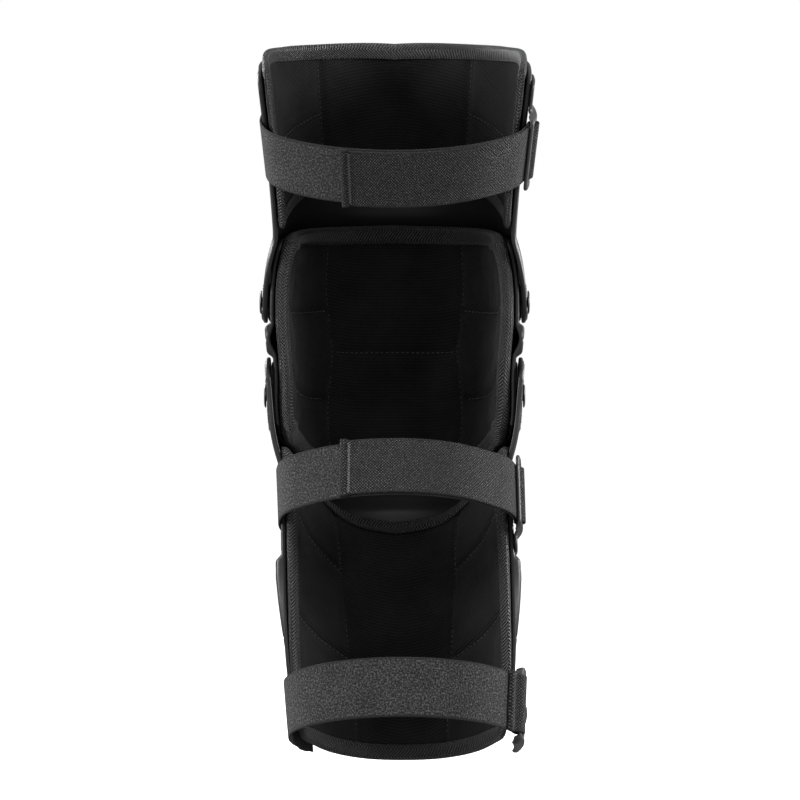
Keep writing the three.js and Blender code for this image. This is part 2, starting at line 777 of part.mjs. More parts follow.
// A ribbon of constant thickness along a path. The thickness is measured square to the path.
function ribbon(limb, level, path) {
  const place = path.map(([turn, lift]) => {
    const { middle } = strapLine(limb, level, rad(turn));
    return new THREE.Vector2((middle + lift) * Math.sin(rad(turn)), -(middle + lift) * Math.cos(rad(turn)));
  });
  const last = path.length - 1;
  const normals = place.map((_, k) => {
    const before = place[Math.max(k - 1, 0)];
    const after = place[Math.min(k + 1, last)];
    const along = after.clone().sub(before).normalize();
    return new THREE.Vector2(-along.y, along.x);
  });
  const face = (side) => (i, j) => {
    const k = Math.round(i * last);
    const across = lerp(-strapWidth / 2, strapWidth / 2, j);
    const spot = place[k].clone().addScaledVector(normals[k], side * strapThick / 2);
    const line = strapLine(limb, level, rad(path[k][0]));
    const scale = 1 + line.slope * across / line.middle;
    const shift = limbShift(limb, level + across);
    return [shift + spot.x * scale, spot.y * scale, level + across];
  };
  return solid(last, 1, face(1), face(-1));
}

// A curved slab that follows the strap line, for clips and anchors.
function slab(limb, level, from, to, low, high, inside, outside, columns) {
  const face = (lift) => (i, j) => {
    return strapPoint(limb, level, rad(lerp(from, to, i)), lerp(low, high, j), lift);
  };
  return solid(columns, 1, face(outside), face(inside));
}

// A rounded outline cut across the whole clip, square to the strap, seen from the side.
// Its sizes are degrees round the leg and millimetres along it.
function sideTool(limb, level, from, to, low, high, corner) {
  const barMiddle = (barInside + barOutside) / 2;
  const y = (turn) => -(strapLine(limb, level, rad(turn)).middle + barMiddle) * Math.cos(rad(turn));
  const [back, front] = [y(from), y(to)];
  const shape = new THREE.Shape();
  const [x0, x1] = [Math.min(back, front), Math.max(back, front)];
  shape.moveTo(x0 + corner, low);
  shape.lineTo(x1 - corner, low);
  shape.absarc(x1 - corner, low + corner, corner, -Math.PI / 2, 0);
  shape.lineTo(x1, high - corner);
  shape.absarc(x1 - corner, high - corner, corner, 0, Math.PI / 2);
  shape.lineTo(x0 + corner, high);
  shape.absarc(x0 + corner, high - corner, corner, Math.PI / 2, Math.PI);
  shape.lineTo(x0, low + corner);
  shape.absarc(x0 + corner, low + corner, corner, Math.PI, 1.5 * Math.PI);
  const tool = new THREE.ExtrudeGeometry(shape, { depth: 80, bevelEnabled: false, curveSegments: 2 });
  // Shape x is the limb's y, shape y is along the limb, and the extrusion runs outwards to -X.
  tool.applyMatrix4(new THREE.Matrix4().makeBasis(
    new THREE.Vector3(0, 1, 0), new THREE.Vector3(0, 0, 1), new THREE.Vector3(1, 0, 0),
  ));
  return tool.translate(-130, 0, level);
}

function postSpot(limb, level) {
  const spots = clipSpots(limb, level);
  return (spots.body + spots.front) / 2 + 0.5;
}

// Frame of the post: its z runs outwards from the plate's outer face.
function postFrame(limb, level) {
  const turn = rad(postSpot(limb, level));
  const line = strapLine(limb, level, turn);
  const plate = line.middle - strapThick / 2 - strapGap;
  return facing(limb, turn, level, plate, line.slope);
}

function clip(limb, level, lug) {
  const spots = clipSpots(limb, level);
  const high = clipHeight / 2;
  const slab0 = slab(limb, level, spots.rearBar, spots.front, -high, high + lug, barInside, barOutside, 8);
  const body = sideTool(limb, level, spots.rearBar, spots.front, -high, high, 4);
  const slotHalf = strapWidth / 2 + 1.4;
  const opening = (from, to) => sideTool(limb, level, from, to, -slotHalf, slotHalf, 1.2);
  const keyhole = pinTool(postRadius + holeGap, 40).applyMatrix4(postFrame(limb, level));
  const outline = toSolid(body);
  const lugBody = sideTool(limb, level, spots.middleBar, spots.front - 1, high - 8, high + lug, 3);
  const whole = lug > 0 ? outline.add(toSolid(lugBody)) : outline;
  return carve(slab0, {
    trim: [toGeometry(whole)],
    cut: [opening(spots.slot, spots.middleBar), opening(spots.frontSlot, spots.body), keyhole],
  });
}

// Mushroom post: a foot on the plate, a neck through the clip and a head outside it.
function post(limb, level) {
  const inner = strapGap + strapThick / 2;
  const under = inner + barInside - 2 * seatGap;
  const over = inner + barOutside + 2 * seatGap;
  const profile = [
    [0, strapGap],
    [postHeadRadius, strapGap],
    [postHeadRadius * 0.86, under],
    [postRadius, under],
    [postRadius, over],
    [postHeadRadius, over],
    [postHeadRadius, over + postHeadRise * 0.5],
    [postHeadRadius * 0.75, over + postHeadRise],
    [0, over + postHeadRise],
  ].map(([r, out]) => new THREE.Vector2(r, out));
  const lathe = new THREE.LatheGeometry(profile, 10).rotateX(Math.PI / 2);
  return lathe.applyMatrix4(postFrame(limb, level));
}

// Bar over the fixed end of a strap, with two pins through the strap and the plate.
function anchorPins(limb, level, gap) {
  const turn = rad(anchorTurn);
  return [-1, 1].map((end) => {
    const across = end * strapWidth * 0.3;
    const line = strapLine(limb, level, turn);
    const middle = line.middle + line.slope * across;
    const top = layerGap + strapThick / 2 + 1 + gap;
    const reach = wall + seatGap + strapThick + layerGap + 1 + 2 * gap;
    const pin = pinTool(pinRadius + gap, reach, 8).translate(0, 0, top - reach / 2);
    return pin.applyMatrix4(facing(limb, turn, level + across, middle, line.slope));
  });
}

function anchor(limb, level) {
  const half = anchorWidth / 2 * deg(1 / strapLine(limb, level, rad(anchorTurn)).middle);
  const inside = strapThick / 2 + layerGap;
  const edge = strapWidth / 2;
  const bar = slab(limb, level, anchorTurn - half, anchorTurn + half, -edge, edge, inside, inside + anchorThick, 3);
  return carve(bar, { add: anchorPins(limb, level, 0) });
}

function strap(limb, level, path) {
  return carve(ribbon(limb, level, path), { cut: anchorPins(limb, level, holeGap) });
}

// Materials
const plastic = { color: 0x26272a, roughness: 0.46, metalness: 0 };
const clipPlastic = { color: 0x3c3d40, roughness: 0.5, metalness: 0 };
const fabric = { color: 0x1d1e20, roughness: 0.95, metalness: 0 };
const elastic = { color: 0x303134, roughness: 0.9, metalness: 0 };
const steel = { color: 0x47484c, roughness: 0.4, metalness: 0.8 };

function add(group, name, geometry, look, mirrored = false) {
  let shape = geometry;
  if (mirrored) {
    const flat = toSolid(geometry).getMesh();
    const points = Array.from(flat.vertProperties).map((value, k) => (k % 3 === 2 ? -value : value));
    shape = facingOut(points, Array.from(flat.triVerts));
  }
  const mesh = new THREE.Mesh(shape, new THREE.MeshStandardMaterial(look));
  mesh.name = name;
  group.add(mesh);
  return mesh;
}

const guard = new THREE.Group();
const thighGroup = new THREE.Group();
thighGroup.position.z = hingeRise;
thighGroup.rotation.x = -rad(thighTilt);
const shinGroup = new THREE.Group();
shinGroup.position.z = -hingeRise;
shinGroup.rotation.x = rad(shinTilt);
guard.add(thighGroup, shinGroup);

add(guard, "knee_cup", kneeCup, plastic);
add(guard, "knee_pad", kneePad, fabric);
for (const [level, { z, half }] of Object.entries({ upper: hinges[0], lower: hinges[1] })) {
  for (const [sideName, side] of [["inner", 1], ["outer", -1]]) {
    const piece = add(guard, `${level}_hinge_rivet_${sideName}`, rivet(half), steel);
    piece.position.z = z;
    piece.rotation.z = side > 0 ? 0 : Math.PI;
  }
}

add(thighGroup, "thigh_plate", thighPlate, plastic);
add(thighGroup, "thigh_pad", thighPad, fabric);
add(thighGroup, "thigh_strap", strap(thigh, thighStrapAt, threadedPath(thigh, thighStrapAt, strapStart, 153)), elastic);
add(thighGroup, "thigh_clip", clip(thigh, thighStrapAt, thighLug), clipPlastic);
add(thighGroup, "thigh_clip_post", post(thigh, thighStrapAt), steel);
add(thighGroup, "thigh_strap_anchor", anchor(thigh, thighStrapAt), clipPlastic);

add(shinGroup, "shin_plate", shinPlate, plastic, true);
add(shinGroup, "shin_pad", shinPad, fabric, true);
for (const [name, level, lug, path] of [
  ["upper_calf", upperCalfStrapAt, calfLug, threadedPath(shin, upperCalfStrapAt, strapStart, 150)],
  ["lower_calf", lowerCalfStrapAt, 0, foldedPath(shin, lowerCalfStrapAt, strapStart, 246)],
]) {
  add(shinGroup, `${name}_strap`, strap(shin, level, path), elastic, true);
  add(shinGroup, `${name}_clip`, clip(shin, level, lug), clipPlastic, true);
  add(shinGroup, `${name}_clip_post`, post(shin, level), steel, true);
  add(shinGroup, `${name}_strap_anchor`, anchor(shin, level), clipPlastic, true);
}

export default guard;
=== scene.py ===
# %% [markdown]
# # A motocross knee guard
# The guard has three sections that hinge on each other beside the knee: a thigh plate, a knee
# cup and a shin plate. Each carries a foam pad with a bound edge, and three elastic straps
# close them at the back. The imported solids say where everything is. This lesson makes the
# finished surface of every piece as a function of two parameters, worked out with numpy.

# %% The frame, and the box that the finished pieces stay in
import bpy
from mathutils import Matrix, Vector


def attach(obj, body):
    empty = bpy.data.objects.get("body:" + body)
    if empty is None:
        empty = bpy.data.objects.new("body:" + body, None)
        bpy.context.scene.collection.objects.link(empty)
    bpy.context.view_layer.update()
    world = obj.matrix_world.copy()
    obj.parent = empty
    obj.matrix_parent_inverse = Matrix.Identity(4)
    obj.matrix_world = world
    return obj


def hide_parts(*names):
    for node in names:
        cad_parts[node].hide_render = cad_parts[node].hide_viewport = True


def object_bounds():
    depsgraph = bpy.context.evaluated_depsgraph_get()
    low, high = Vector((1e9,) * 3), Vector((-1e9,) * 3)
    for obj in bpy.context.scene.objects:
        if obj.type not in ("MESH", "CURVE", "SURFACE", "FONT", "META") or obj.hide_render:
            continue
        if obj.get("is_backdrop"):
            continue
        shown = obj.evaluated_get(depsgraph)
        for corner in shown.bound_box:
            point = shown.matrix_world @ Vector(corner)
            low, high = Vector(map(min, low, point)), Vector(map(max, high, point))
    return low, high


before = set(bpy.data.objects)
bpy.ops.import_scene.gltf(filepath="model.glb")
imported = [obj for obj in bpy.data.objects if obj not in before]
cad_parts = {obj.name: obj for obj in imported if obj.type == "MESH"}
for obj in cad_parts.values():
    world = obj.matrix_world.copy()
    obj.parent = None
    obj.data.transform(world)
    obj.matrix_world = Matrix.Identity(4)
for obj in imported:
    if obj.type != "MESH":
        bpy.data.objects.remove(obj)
cad_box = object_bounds()

from types import SimpleNamespace

import bpy
import numpy as np

RAD = np.pi / 180

# %% [markdown]
# ## Camera
# The guard is seen straight from behind, from far away, so that its lines hardly converge. A
# long lens at 2.4 m sees a field of 528 mm in the plane of the straps.

# %% Camera
FIELD = 0.528
DISTANCE = 2.4
STRAP_PLANE = 0.05
camera_data = bpy.data.cameras.new("camera")
camera_data.sensor_width = 36
camera_data.lens = 36 * DISTANCE / FIELD
camera = bpy.data.objects.new("camera", camera_data)
camera.location = (-0.0036, STRAP_PLANE + DISTANCE, -0.0343)
camera.rotation_euler = (90 * RAD, 0, 180 * RAD)
bpy.context.scene.collection.objects.link(camera)
bpy.context.scene.camera = camera
print("lens", round(camera_data.lens, 1), "mm")

# %% [markdown]
# ## Light and floor
# Black goods need soft lamps that stand well to the side: what the eye reads on black plastic
# is the reflection of the lamp, and on black cloth the light that grazes its threads. The
# ground is white, but the room that the goods stand in is dim, or they would turn grey.

# %% Light and floor
ROOM_LIGHT = 0.26
FLOOR_DROP = 0.06
world = bpy.data.worlds.new("studio")
world.use_nodes = True
room = world.node_tree.nodes
room["Background"].inputs[0].default_value = (1, 1, 1, 1)
seen = room.new("ShaderNodeMath")
seen.operation = "MULTIPLY_ADD"
seen.inputs[1].default_value, seen.inputs[2].default_value = 1 - ROOM_LIGHT, ROOM_LIGHT
world.node_tree.links.new(room.new("ShaderNodeLightPath").outputs["Is Camera Ray"], seen.inputs[0])
world.node_tree.links.new(seen.outputs[0], room["Background"].inputs[1])
bpy.context.scene.world = world
bpy.context.scene.view_settings.view_transform = "Standard"


def softbox(name, place, size, power, aim=(0, 0.03, -0.03)):
    """A square lamp that faces a point."""
    data = bpy.data.lights.new(name, "AREA")
    data.size, data.energy = size, power
    lamp = bpy.data.objects.new(name, data)
    back = np.array(place) - np.array(aim)
    lamp.location = place
    lamp.rotation_euler = (
        np.arctan2(np.hypot(back[0], back[1]), back[2]), 0, np.arctan2(back[0], -back[1]))
    bpy.context.scene.collection.objects.link(lamp)


for lamp_name, place, size, power in (
        ("rear_left", (1.9, 0.6, 0.55), 0.8, 35), ("rear_right", (-1.9, 0.6, 0.55), 0.8, 35),
        ("rear_low", (0.3, 2.0, -0.2), 0.7, 3), ("front_left", (1.3, -1.6, 0.8), 0.8, 30),
        ("front_right", (-1.7, -1.0, 0.4), 0.6, 22)):
    softbox(lamp_name, place, size, power)
sky = bpy.data.lights.new("sky", "SUN")
sky.energy, sky.angle = 0.9, 70 * RAD
bpy.context.scene.collection.objects.link(bpy.data.objects.new("sky", sky))

bpy.ops.mesh.primitive_grid_add(x_subdivisions=8, y_subdivisions=8, size=60)
floor = bpy.context.object
floor.name = "floor"
floor.location.z = cad_box[0].z - FLOOR_DROP
floor.visible_diffuse = floor.visible_glossy = False
floor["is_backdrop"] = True

# %% [markdown]
# ## Named sizes
# All shapes are worked out in millimetres from the same sizes as the solids, and turned into
# metres when a mesh is made. Each limb has its own straight axis: a point of it has a turn
# round that axis, counted from the front, and a distance along it from the hinge.

# %% Named sizes
HINGE_RISE = 31.5
WALL, RUN_GAP, SEAT_GAP, PAD_GAP, STRAP_GAP = 2.8, 1.5, 0.35, 1.0, 0.8
CUP_UPPER_HALF, CUP_LOWER_HALF, CUP_RADIUS, CUP_SQUARENESS, CUP_BRIDGE = 84, 81, 92, 2.3, 3.4
CUP_TOP, CUP_BOTTOM, WING_TOP, WING_BOTTOM = 54, 57, 43, 28
KNEE_PAD_THICK, RIM_THICK, KNEE_PAD_TOP, KNEE_PAD_BOTTOM = 12.5, 5.5, 46.5, 32.5
ARM_RADIUS, EAR_RADIUS, SKIRT_DROP, SHIN_RISE = 14, 26, 10, 13
SHANK_RADIUS, HEAD_RADIUS, HEAD_RISE, TAIL_RADIUS, TAIL_RISE = 3.5, 8, 1.3, 6.5, 1.2
STRAP_WIDTH, STRAP_THICK, LAYER_GAP = 38, 1.4, 0.5
CLIP_THICK, CLIP_HEIGHT, BAR_WIDTH, SLOT_WIDTH, CLIP_FRONT = 2.2, 51, 4.2, 7, 17
THIGH_LUG, CALF_LUG = 21, 12
POST_RADIUS, POST_HEAD_RADIUS, POST_HEAD_RISE = 3.2, 6.5, 1.4
ANCHOR_WIDTH, ANCHOR_THICK, ANCHOR_TURN, STRAP_START, PIN_RADIUS = 13, 2, 62, 56, 2.2
REAR_BAR_TURN = 256
HOLE_PLAY = 0.35
# How far the outer and the inner edge of a moulding are rounded over
OUTER_ROUND, INNER_ROUND = 1.3, 0.9

# Columns: share of the length, half width, front, rear, sideways drift, pad at side, pad in front
THIGH_ROWS = np.array([
    (0.00, 0.850, 0.93, 0.82, 0, 1.0, 1.0),
    (0.30, 0.890, 0.94, 0.88, 0, 1.0, 1.0),
    (0.52, 0.920, 0.96, 0.95, 0, 1.0, 1.1),
    (0.75, 0.970, 1.00, 1.00, 0, 0.9, 1.1),
    (0.89, 0.995, 1.02, 1.01, 0, 1.0, 1.0),
    (1.00, 1.010, 1.03, 1.01, 0, 1.0, 0.9)])
SHIN_ROWS = np.array([
    (0.00, 0.99, 1.22, 0.83, 0.00, 1.00, 1.0),
    (0.15, 0.97, 1.12, 0.90, 0.00, 1.00, 1.0),
    (0.30, 0.96, 1.03, 0.96, 0.20, 1.00, 1.0),
    (0.50, 0.99, 0.99, 1.02, 0.45, 0.80, 1.0),
    (0.75, 1.00, 0.96, 0.97, 0.72, 0.60, 0.9),
    (0.90, 0.98, 0.94, 0.91, 0.87, 0.52, 0.8),
    (1.00, 0.96, 0.92, 0.87, 1.00, 0.50, 0.8)])
thigh = SimpleNamespace(
    body="thigh", up=1, tilt=20, extend=20, flex=22, length=170, half=82.6, front=84, rear=73,
    drift=0, side=3.6, face=10, rows=THIGH_ROWS)
shin = SimpleNamespace(
    body="shin", up=-1, tilt=18, extend=18, flex=30, length=240, half=67, front=58, rear=72,
    drift=-5.6, side=8.8, face=10, rows=SHIN_ROWS)
THIGH_STRAP_AT = thigh.length - 61
UPPER_CALF_STRAP_AT = 72
LOWER_CALF_STRAP_AT = shin.length - 23


# %% [markdown]
# ## The hollow inside the guard
# A limb's cross-section is an ellipse whose half widths follow a short table. The plates also
# have to clear the cup through their whole swing, so their inner face is the larger of the
# padded hollow and the surface that the swinging cup sweeps out, with the crease eased.

# %% The hollow and the cup
def smooth(x, low, high):
    """0 below low and 1 above high, with 3t^2 - 2t^3 between them."""
    t = np.clip((x - low) / (high - low), 0, 1)
    return t * t * (3 - 2 * t)


def mix(a, b, t):
    return a + (b - a) * t


def read_column(rows, column, share):
    """A cubic through the rows, whose tangent at each row is the mean of the slopes beside it."""
    at, value = rows[:, 0], rows[:, column]
    slope = np.diff(value) / np.diff(at)
    tangent = np.concatenate([slope[:1], (slope[1:] + slope[:-1]) / 2, slope[-1:]])
    i = np.clip(np.searchsorted(at, share) - 1, 0, len(at) - 2)
    span = at[i + 1] - at[i]
    t = np.clip((share - at[i]) / span, 0, 1)
    return ((1 + 2 * t) * (1 - t) ** 2 * value[i] + t * (1 - t) ** 2 * span * tangent[i]
            + t * t * (3 - 2 * t) * value[i + 1] + t * t * (t - 1) * span * tangent[i + 1])


def limb_radius(limb, turn, along, pad_share, gap):
    """r = 1 / |(sin(turn) / half, cos(turn) / depth)|, an ellipse grown by pad and gap."""
    at = along / limb.length
    side = limb.side * read_column(limb.rows, 5, at) * pad_share + gap
    face = limb.face * read_column(limb.rows, 6, at) * pad_share + gap
    half = limb.half * read_column(limb.rows, 1, at) + side
    front = limb.front * read_column(limb.rows, 2, at) + face
    rear = limb.rear * read_column(limb.rows, 3, at) + side
    depth = np.where(np.cos(turn) > 0, front, rear)
    return 1 / np.hypot(np.sin(turn) / half, np.cos(turn) / depth)


def limb_shift(limb, along):
    return limb.drift * read_column(limb.rows, 4, along / limb.length)


def cup_half(z, swelling):
    """Half width of the cup, level beside each rivet, with a swelling between the hinges."""
    level = HINGE_RISE - HEAD_RADIUS
    band_middle = (EAR_RADIUS - ARM_RADIUS) / 2
    band_half = HINGE_RISE - (EAR_RADIUS + ARM_RADIUS) / 2
    off = np.clip(np.abs(z - band_middle) / band_half, 0, 1)
    return mix(CUP_LOWER_HALF, CUP_UPPER_HALF, smooth(z, -level, level)) + swelling * (1 - off ** 2) ** 2


def outside_cup(x, y, z, offset, swelling=CUP_BRIDGE):
    """Whether (x / half)^n + (y / radius)^n is at least 1, n being the cup's squareness."""
    over = np.maximum(np.abs(z) - HINGE_RISE, 0)
    across = np.abs(x) / (cup_half(z, swelling) + offset)
    around = np.hypot(y, over) / (CUP_RADIUS + offset)
    return across ** CUP_SQUARENESS + around ** CUP_SQUARENESS >= 1


def first_free(test, shape):
    """The smallest radius that a test accepts, by halving the range 24 times."""
    low, high = np.zeros(shape), np.full(shape, 160.0)
    for _ in range(24):
        middle = (low + high) / 2
        free = test(middle)
        high, low = np.where(free, middle, high), np.where(free, low, middle)
    return high


def cup_point(turn, z, offset, swelling=CUP_BRIDGE):
    """Point of the cup's barrel, offset from its outer face, in the knee's own frame."""
    turn, z, offset = np.broadcast_arrays(turn, z, offset)
    r = first_free(
        lambda s: outside_cup(s * np.sin(turn), s * np.cos(turn), z, offset, swelling), turn.shape)
    return np.stack([r * np.sin(turn), -r * np.cos(turn), z], -1)


def to_knee(limb, x, y, along):
    """A limb's point in the knee's frame: tilted about its hinge, mirrored for the shin."""
    c, s = np.cos(limb.tilt * RAD), np.sin(limb.tilt * RAD)
    return np.stack([x, y * c + along * s, limb.up * (HINGE_RISE - y * s + along * c)], -1)


def swept_radius(limb, turn, along):
    """Radius at which the limb's plate clears the cup at five places of its swing."""
    shift = limb_shift(limb, along)
    tilts = limb.tilt + mix(-limb.extend, limb.flex, np.array([0, 0.25, 0.5, 0.75, 1]))

    def clear(r):
        x, y, free = shift + r * np.sin(turn), -r * np.cos(turn), True
        for tilt in tilts * RAD:
            height = HINGE_RISE - y * np.sin(tilt) + along * np.cos(tilt)
            depth = y * np.cos(tilt) + along * np.sin(tilt)
            free = free & outside_cup(x, depth, limb.up * height, RUN_GAP)
        return free

    return first_free(clear, turn.shape)


def plate_inner(limb, turn, along, ease=2):
    """max(padded hollow, swept cup), eased: (a + b + sqrt((a - b)^2 + k^2)) / 2."""
    turn, along = np.broadcast_arrays(np.asarray(turn, float), np.asarray(along, float))
    a = limb_radius(limb, turn, along, 1, PAD_GAP)
    b = swept_radius(limb, turn, along)
    return (a + b + np.sqrt((a - b) ** 2 + ease ** 2)) / 2


def limb_point(limb, turn, along, radius):
    turn, along, radius = np.broadcast_arrays(turn, along, radius)
    return to_knee(limb, limb_shift(limb, along) + radius * np.sin(turn), -radius * np.cos(turn), along)


print("thigh plate, inner radius beside the rivet:", round(float(plate_inner(thigh, 90 * RAD, 0)), 2), "mm")


# %% [markdown]
# ## Outlines
# A patch of wall is cut to shape by its edges: a low and a high edge from the middle of the
# front to the side, and a rear edge. Between them a point is a straight mix, bowed outwards to
# meet the rear edge.

# %% Patches
def hermite(a, b, m, n, t):
    """The cubic from a to b over t from 0 to 1, with the tangents m and n at its ends."""
    return ((2 * t ** 3 - 3 * t ** 2 + 1) * a + (t ** 3 - 2 * t ** 2 + t) * m
            + (3 * t ** 2 - 2 * t ** 3) * b + (t ** 3 - t ** 2) * n)


def spline(points, t):
    """A curve through the points, whose tangent at each is half the step between its neighbours."""
    p = np.asarray(points, float)
    s = np.clip(t, 0, 1) * (len(p) - 1)
    i = np.clip(np.floor(s).astype(int), 0, len(p) - 2)
    w = (s - i)[..., None]
    before, after = p[np.maximum(i - 1, 0)], p[np.minimum(i + 2, len(p) - 1)]
    a, b = p[i], p[i + 1]
    return hermite(a, b, (b - before) / 2, (after - a) / 2, w)


def patch(low, high, rear=()):
    """Returns (u, v) -> (turn, along): mix of the two edges, plus u^2 times the rear edge's bow."""
    rear = [low[-1], *rear, high[-1]]

    def place(u, v):
        out, v1 = np.abs(u), v[..., None]
        across = lambda t: mix(spline(low, t), spline(high, t), v1)
        point = across(out) + (out ** 2)[..., None] * (spline(rear, v) - across(np.ones_like(out)))
        return point[..., 0] * RAD * np.sign(u), point[..., 1]

    return place


def arm_end(radius, half, start, stop, count):
    """An arc round a rivet, in degrees round a wall of that half width and millimetres along."""
    swing = np.linspace(start, stop, count + 1) * RAD
    per_mm = 1 / half / RAD
    return [(90 + radius * np.sin(a) * per_mm, -radius * np.cos(a)) for a in swing]


H, T, S = HINGE_RISE, thigh.length, shin.length
cup_patch = patch(
    [(0, -H - CUP_BOTTOM), (30, -H - .97 * CUP_BOTTOM), (55, -H - .8 * CUP_BOTTOM),
     (75, -H - 1.2 * WING_BOTTOM), (90, -H - WING_BOTTOM), (99, -H - .7 * WING_BOTTOM)],
    [(0, H + CUP_TOP), (30, H + .97 * CUP_TOP), (58, H + .91 * CUP_TOP),
     (80, H + 1.02 * WING_TOP), (94, H + .96 * WING_TOP), (100, H + .8 * WING_TOP)],
    [(101.5, -.4 * H), (102, .5 * H), (102, H + .35 * WING_TOP)])
knee_pad_patch = patch(
    [(0, -H - CUP_BOTTOM - 1), (30, -H - CUP_BOTTOM), (55, -H - .84 * CUP_BOTTOM),
     (75, -H - 1.08 * KNEE_PAD_BOTTOM), (92, -H - .97 * KNEE_PAD_BOTTOM), (103, -H - .72 * KNEE_PAD_BOTTOM)],
    [(0, H + CUP_TOP + 1.5), (30, H + CUP_TOP), (58, H + .95 * CUP_TOP),
     (80, H + 1.02 * KNEE_PAD_TOP), (96, H + .95 * KNEE_PAD_TOP), (104, H + .8 * KNEE_PAD_TOP)],
    [(106.5, -.4 * H), (107, .5 * H), (106.5, H + .35 * KNEE_PAD_TOP)])
thigh_plate_patch = patch(
    [(0, -SKIRT_DROP), (26, -.8 * SKIRT_DROP), (48, .1 * SKIRT_DROP), (64, .5 * SKIRT_DROP),
     *arm_end(ARM_RADIUS, CUP_UPPER_HALF + RUN_GAP + WALL, -62, 90, 5)],
    [(0, .875 * T), (14, .88 * T), (28, .895 * T), (40, .91 * T), (52, .925 * T), (64, .94 * T),
     (76, .955 * T), (86, .955 * T), (93, .93 * T), (96, .88 * T)],
    [(99.5, .14 * T), (98, .32 * T), (96, .55 * T), (96.5, .75 * T)])
shin_plate_patch = patch(
    [(0, -SHIN_RISE), (24, -.9 * SHIN_RISE), (44, -.4 * SHIN_RISE), (60, 0),
     *arm_end(EAR_RADIUS, CUP_LOWER_HALF + RUN_GAP + WALL, -58, 80, 6)],
    [(0, .965 * S), (14, .965 * S), (26, .962 * S), (38, .957 * S), (48, .95 * S), (56, .94 * S),
     (63, .93 * S), (69, .915 * S), (74, .895 * S), (78, .87 * S), (80, .84 * S)],
    [(101, .12 * S), (94, .27 * S), (94, .45 * S), (92, .6 * S), (86, .74 * S)])
thigh_pad_patch = patch(
    [(0, 71), (30, .95 * 71), (56, mix(52, 71, .35)), (76, 1.02 * 52), (92, 1.02 * 52), (101, 1.12 * 52)],
    [(0, .905 * T), (30, .93 * T), (56, .97 * T), (80, 1.01 * T), (96, T), (101, .95 * T)],
    [(102, .45 * T), (101, .65 * T), (101.5, .85 * T)])
shin_pad_patch = patch(
    [(0, 70), (30, .92 * 70), (56, mix(36, 70, .36)), (78, 1.04 * 36), (94, 1.06 * 36), (101, 1.3 * 36)],
    [(0, .985 * S), (24, .985 * S), (48, .98 * S), (66, .97 * S), (78, .965 * S), (84, .94 * S)],
    [(99, .34 * S), (99, .5 * S), (96, .66 * S), (91, .82 * S)])


# %% [markdown]
# ## From arrays to meshes
# Every shell, pad, strap and clip is one kind of body: an outer and an inner face over the same
# grid, and a rim that closes them. Where a hole goes through, the grid's cells are left out and
# the corners round it are drawn onto the outline of the hole, so its edge is a clean curve.

# %% Mesh helpers
def wall_faces(keep):
    """Quads of the outer face, the inner face and every rim between a kept and a missing cell."""
    n, m = keep.shape
    number = np.arange((n + 1) * (m + 1)).reshape(n + 1, m + 1)
    under = number.size
    quads = np.stack([number[:-1, :-1], number[1:, :-1], number[1:, 1:], number[:-1, 1:]], -1)[keep]
    there = np.pad(keep, 1)
    near, far, left, right = there[1:-1, 1:], there[1:-1, :-1], there[:-1, 1:-1], there[1:, 1:-1]
    rim = lambda p, q, where: np.stack([p[where], q[where], q[where] + under, p[where] + under], -1)
    return np.concatenate([
        quads, quads[:, ::-1] + under,
        rim(number[1:], number[:-1], near & ~far), rim(number[:-1], number[1:], far & ~near),
        rim(number[:, :-1], number[:, 1:], right & ~left),
        rim(number[:, 1:], number[:, :-1], left & ~right)])


def six_volumes(points, faces):
    """Sum of a . (b x c) over the faces' triangles: positive where the faces look outwards."""
    a = points[faces[:, 0]]
    return sum(np.einsum("ij,ij", a, np.cross(points[faces[:, k]], points[faces[:, k + 1]]))
               for k in range(1, faces.shape[1] - 1))


def placed(name, mesh, body, materials, replaces=()):
    """Makes a piece of the mesh, on its body, in place of the nodes it replaces."""
    for material in materials:
        mesh.materials.append(material)
    mesh.shade_smooth()
    piece = bpy.data.objects.new(name, mesh)
    bpy.context.scene.collection.objects.link(piece)
    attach(piece, body)
    if replaces:
        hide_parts(*replaces)
    print(f"{name}: {len(mesh.polygons)} faces")
    return piece


def new_mesh(name, points, faces, uv=None, worn=None):
    """A mesh from points in millimetres: faces turned outwards, loose points left out."""
    used, compact = np.unique(faces, return_inverse=True)
    faces, points = compact.reshape(faces.shape), points.reshape(-1, 3)[used]
    if six_volumes(points, faces) < 0:
        faces = faces[:, ::-1]
    mesh = bpy.data.meshes.new(name)
    mesh.from_pydata((points / 1000).tolist(), [], faces.tolist())
    if uv is not None:
        layer = mesh.uv_layers.new(name="millimetres")
        layer.data.foreach_set("uv", uv[used][faces.ravel()].ravel().astype(np.float32))
    if worn is not None:
        rim = mesh.attributes.new("rim", "FLOAT", "POINT")
        rim.data.foreach_set("value", worn[used].astype(np.float32))
    return mesh


def hard_wall(name, outer, inner, keep, worn, inner_wear, body, material, node_name):
    """A plastic wall. Its rim value, from 0 to 1, says how far handling has polished it."""
    wear = np.concatenate([worn.ravel(), worn.ravel() * inner_wear])
    mesh = new_mesh(name, np.concatenate([outer, inner]), wall_faces(keep), worn=wear)
    return placed(name, mesh, body, [material], [node_name])


def soft_wall(name, outer, inner, across, along, body, materials, node_name):
    """A cloth wall with a map in millimetres: the second material is on its outer face alone."""
    keep = np.ones((outer.shape[0] - 1, outer.shape[1] - 1), bool)
    uv = np.stack(np.broadcast_arrays(across, along), -1).reshape(-1, 2)
    mesh = new_mesh(name, np.concatenate([outer, inner]), wall_faces(keep), np.concatenate([uv, uv]))
    piece = placed(name, mesh, body, materials, [node_name])
    which = np.arange(len(mesh.polygons)) < keep.size
    mesh.polygons.foreach_set("material_index", which.astype(np.int32))
    return piece


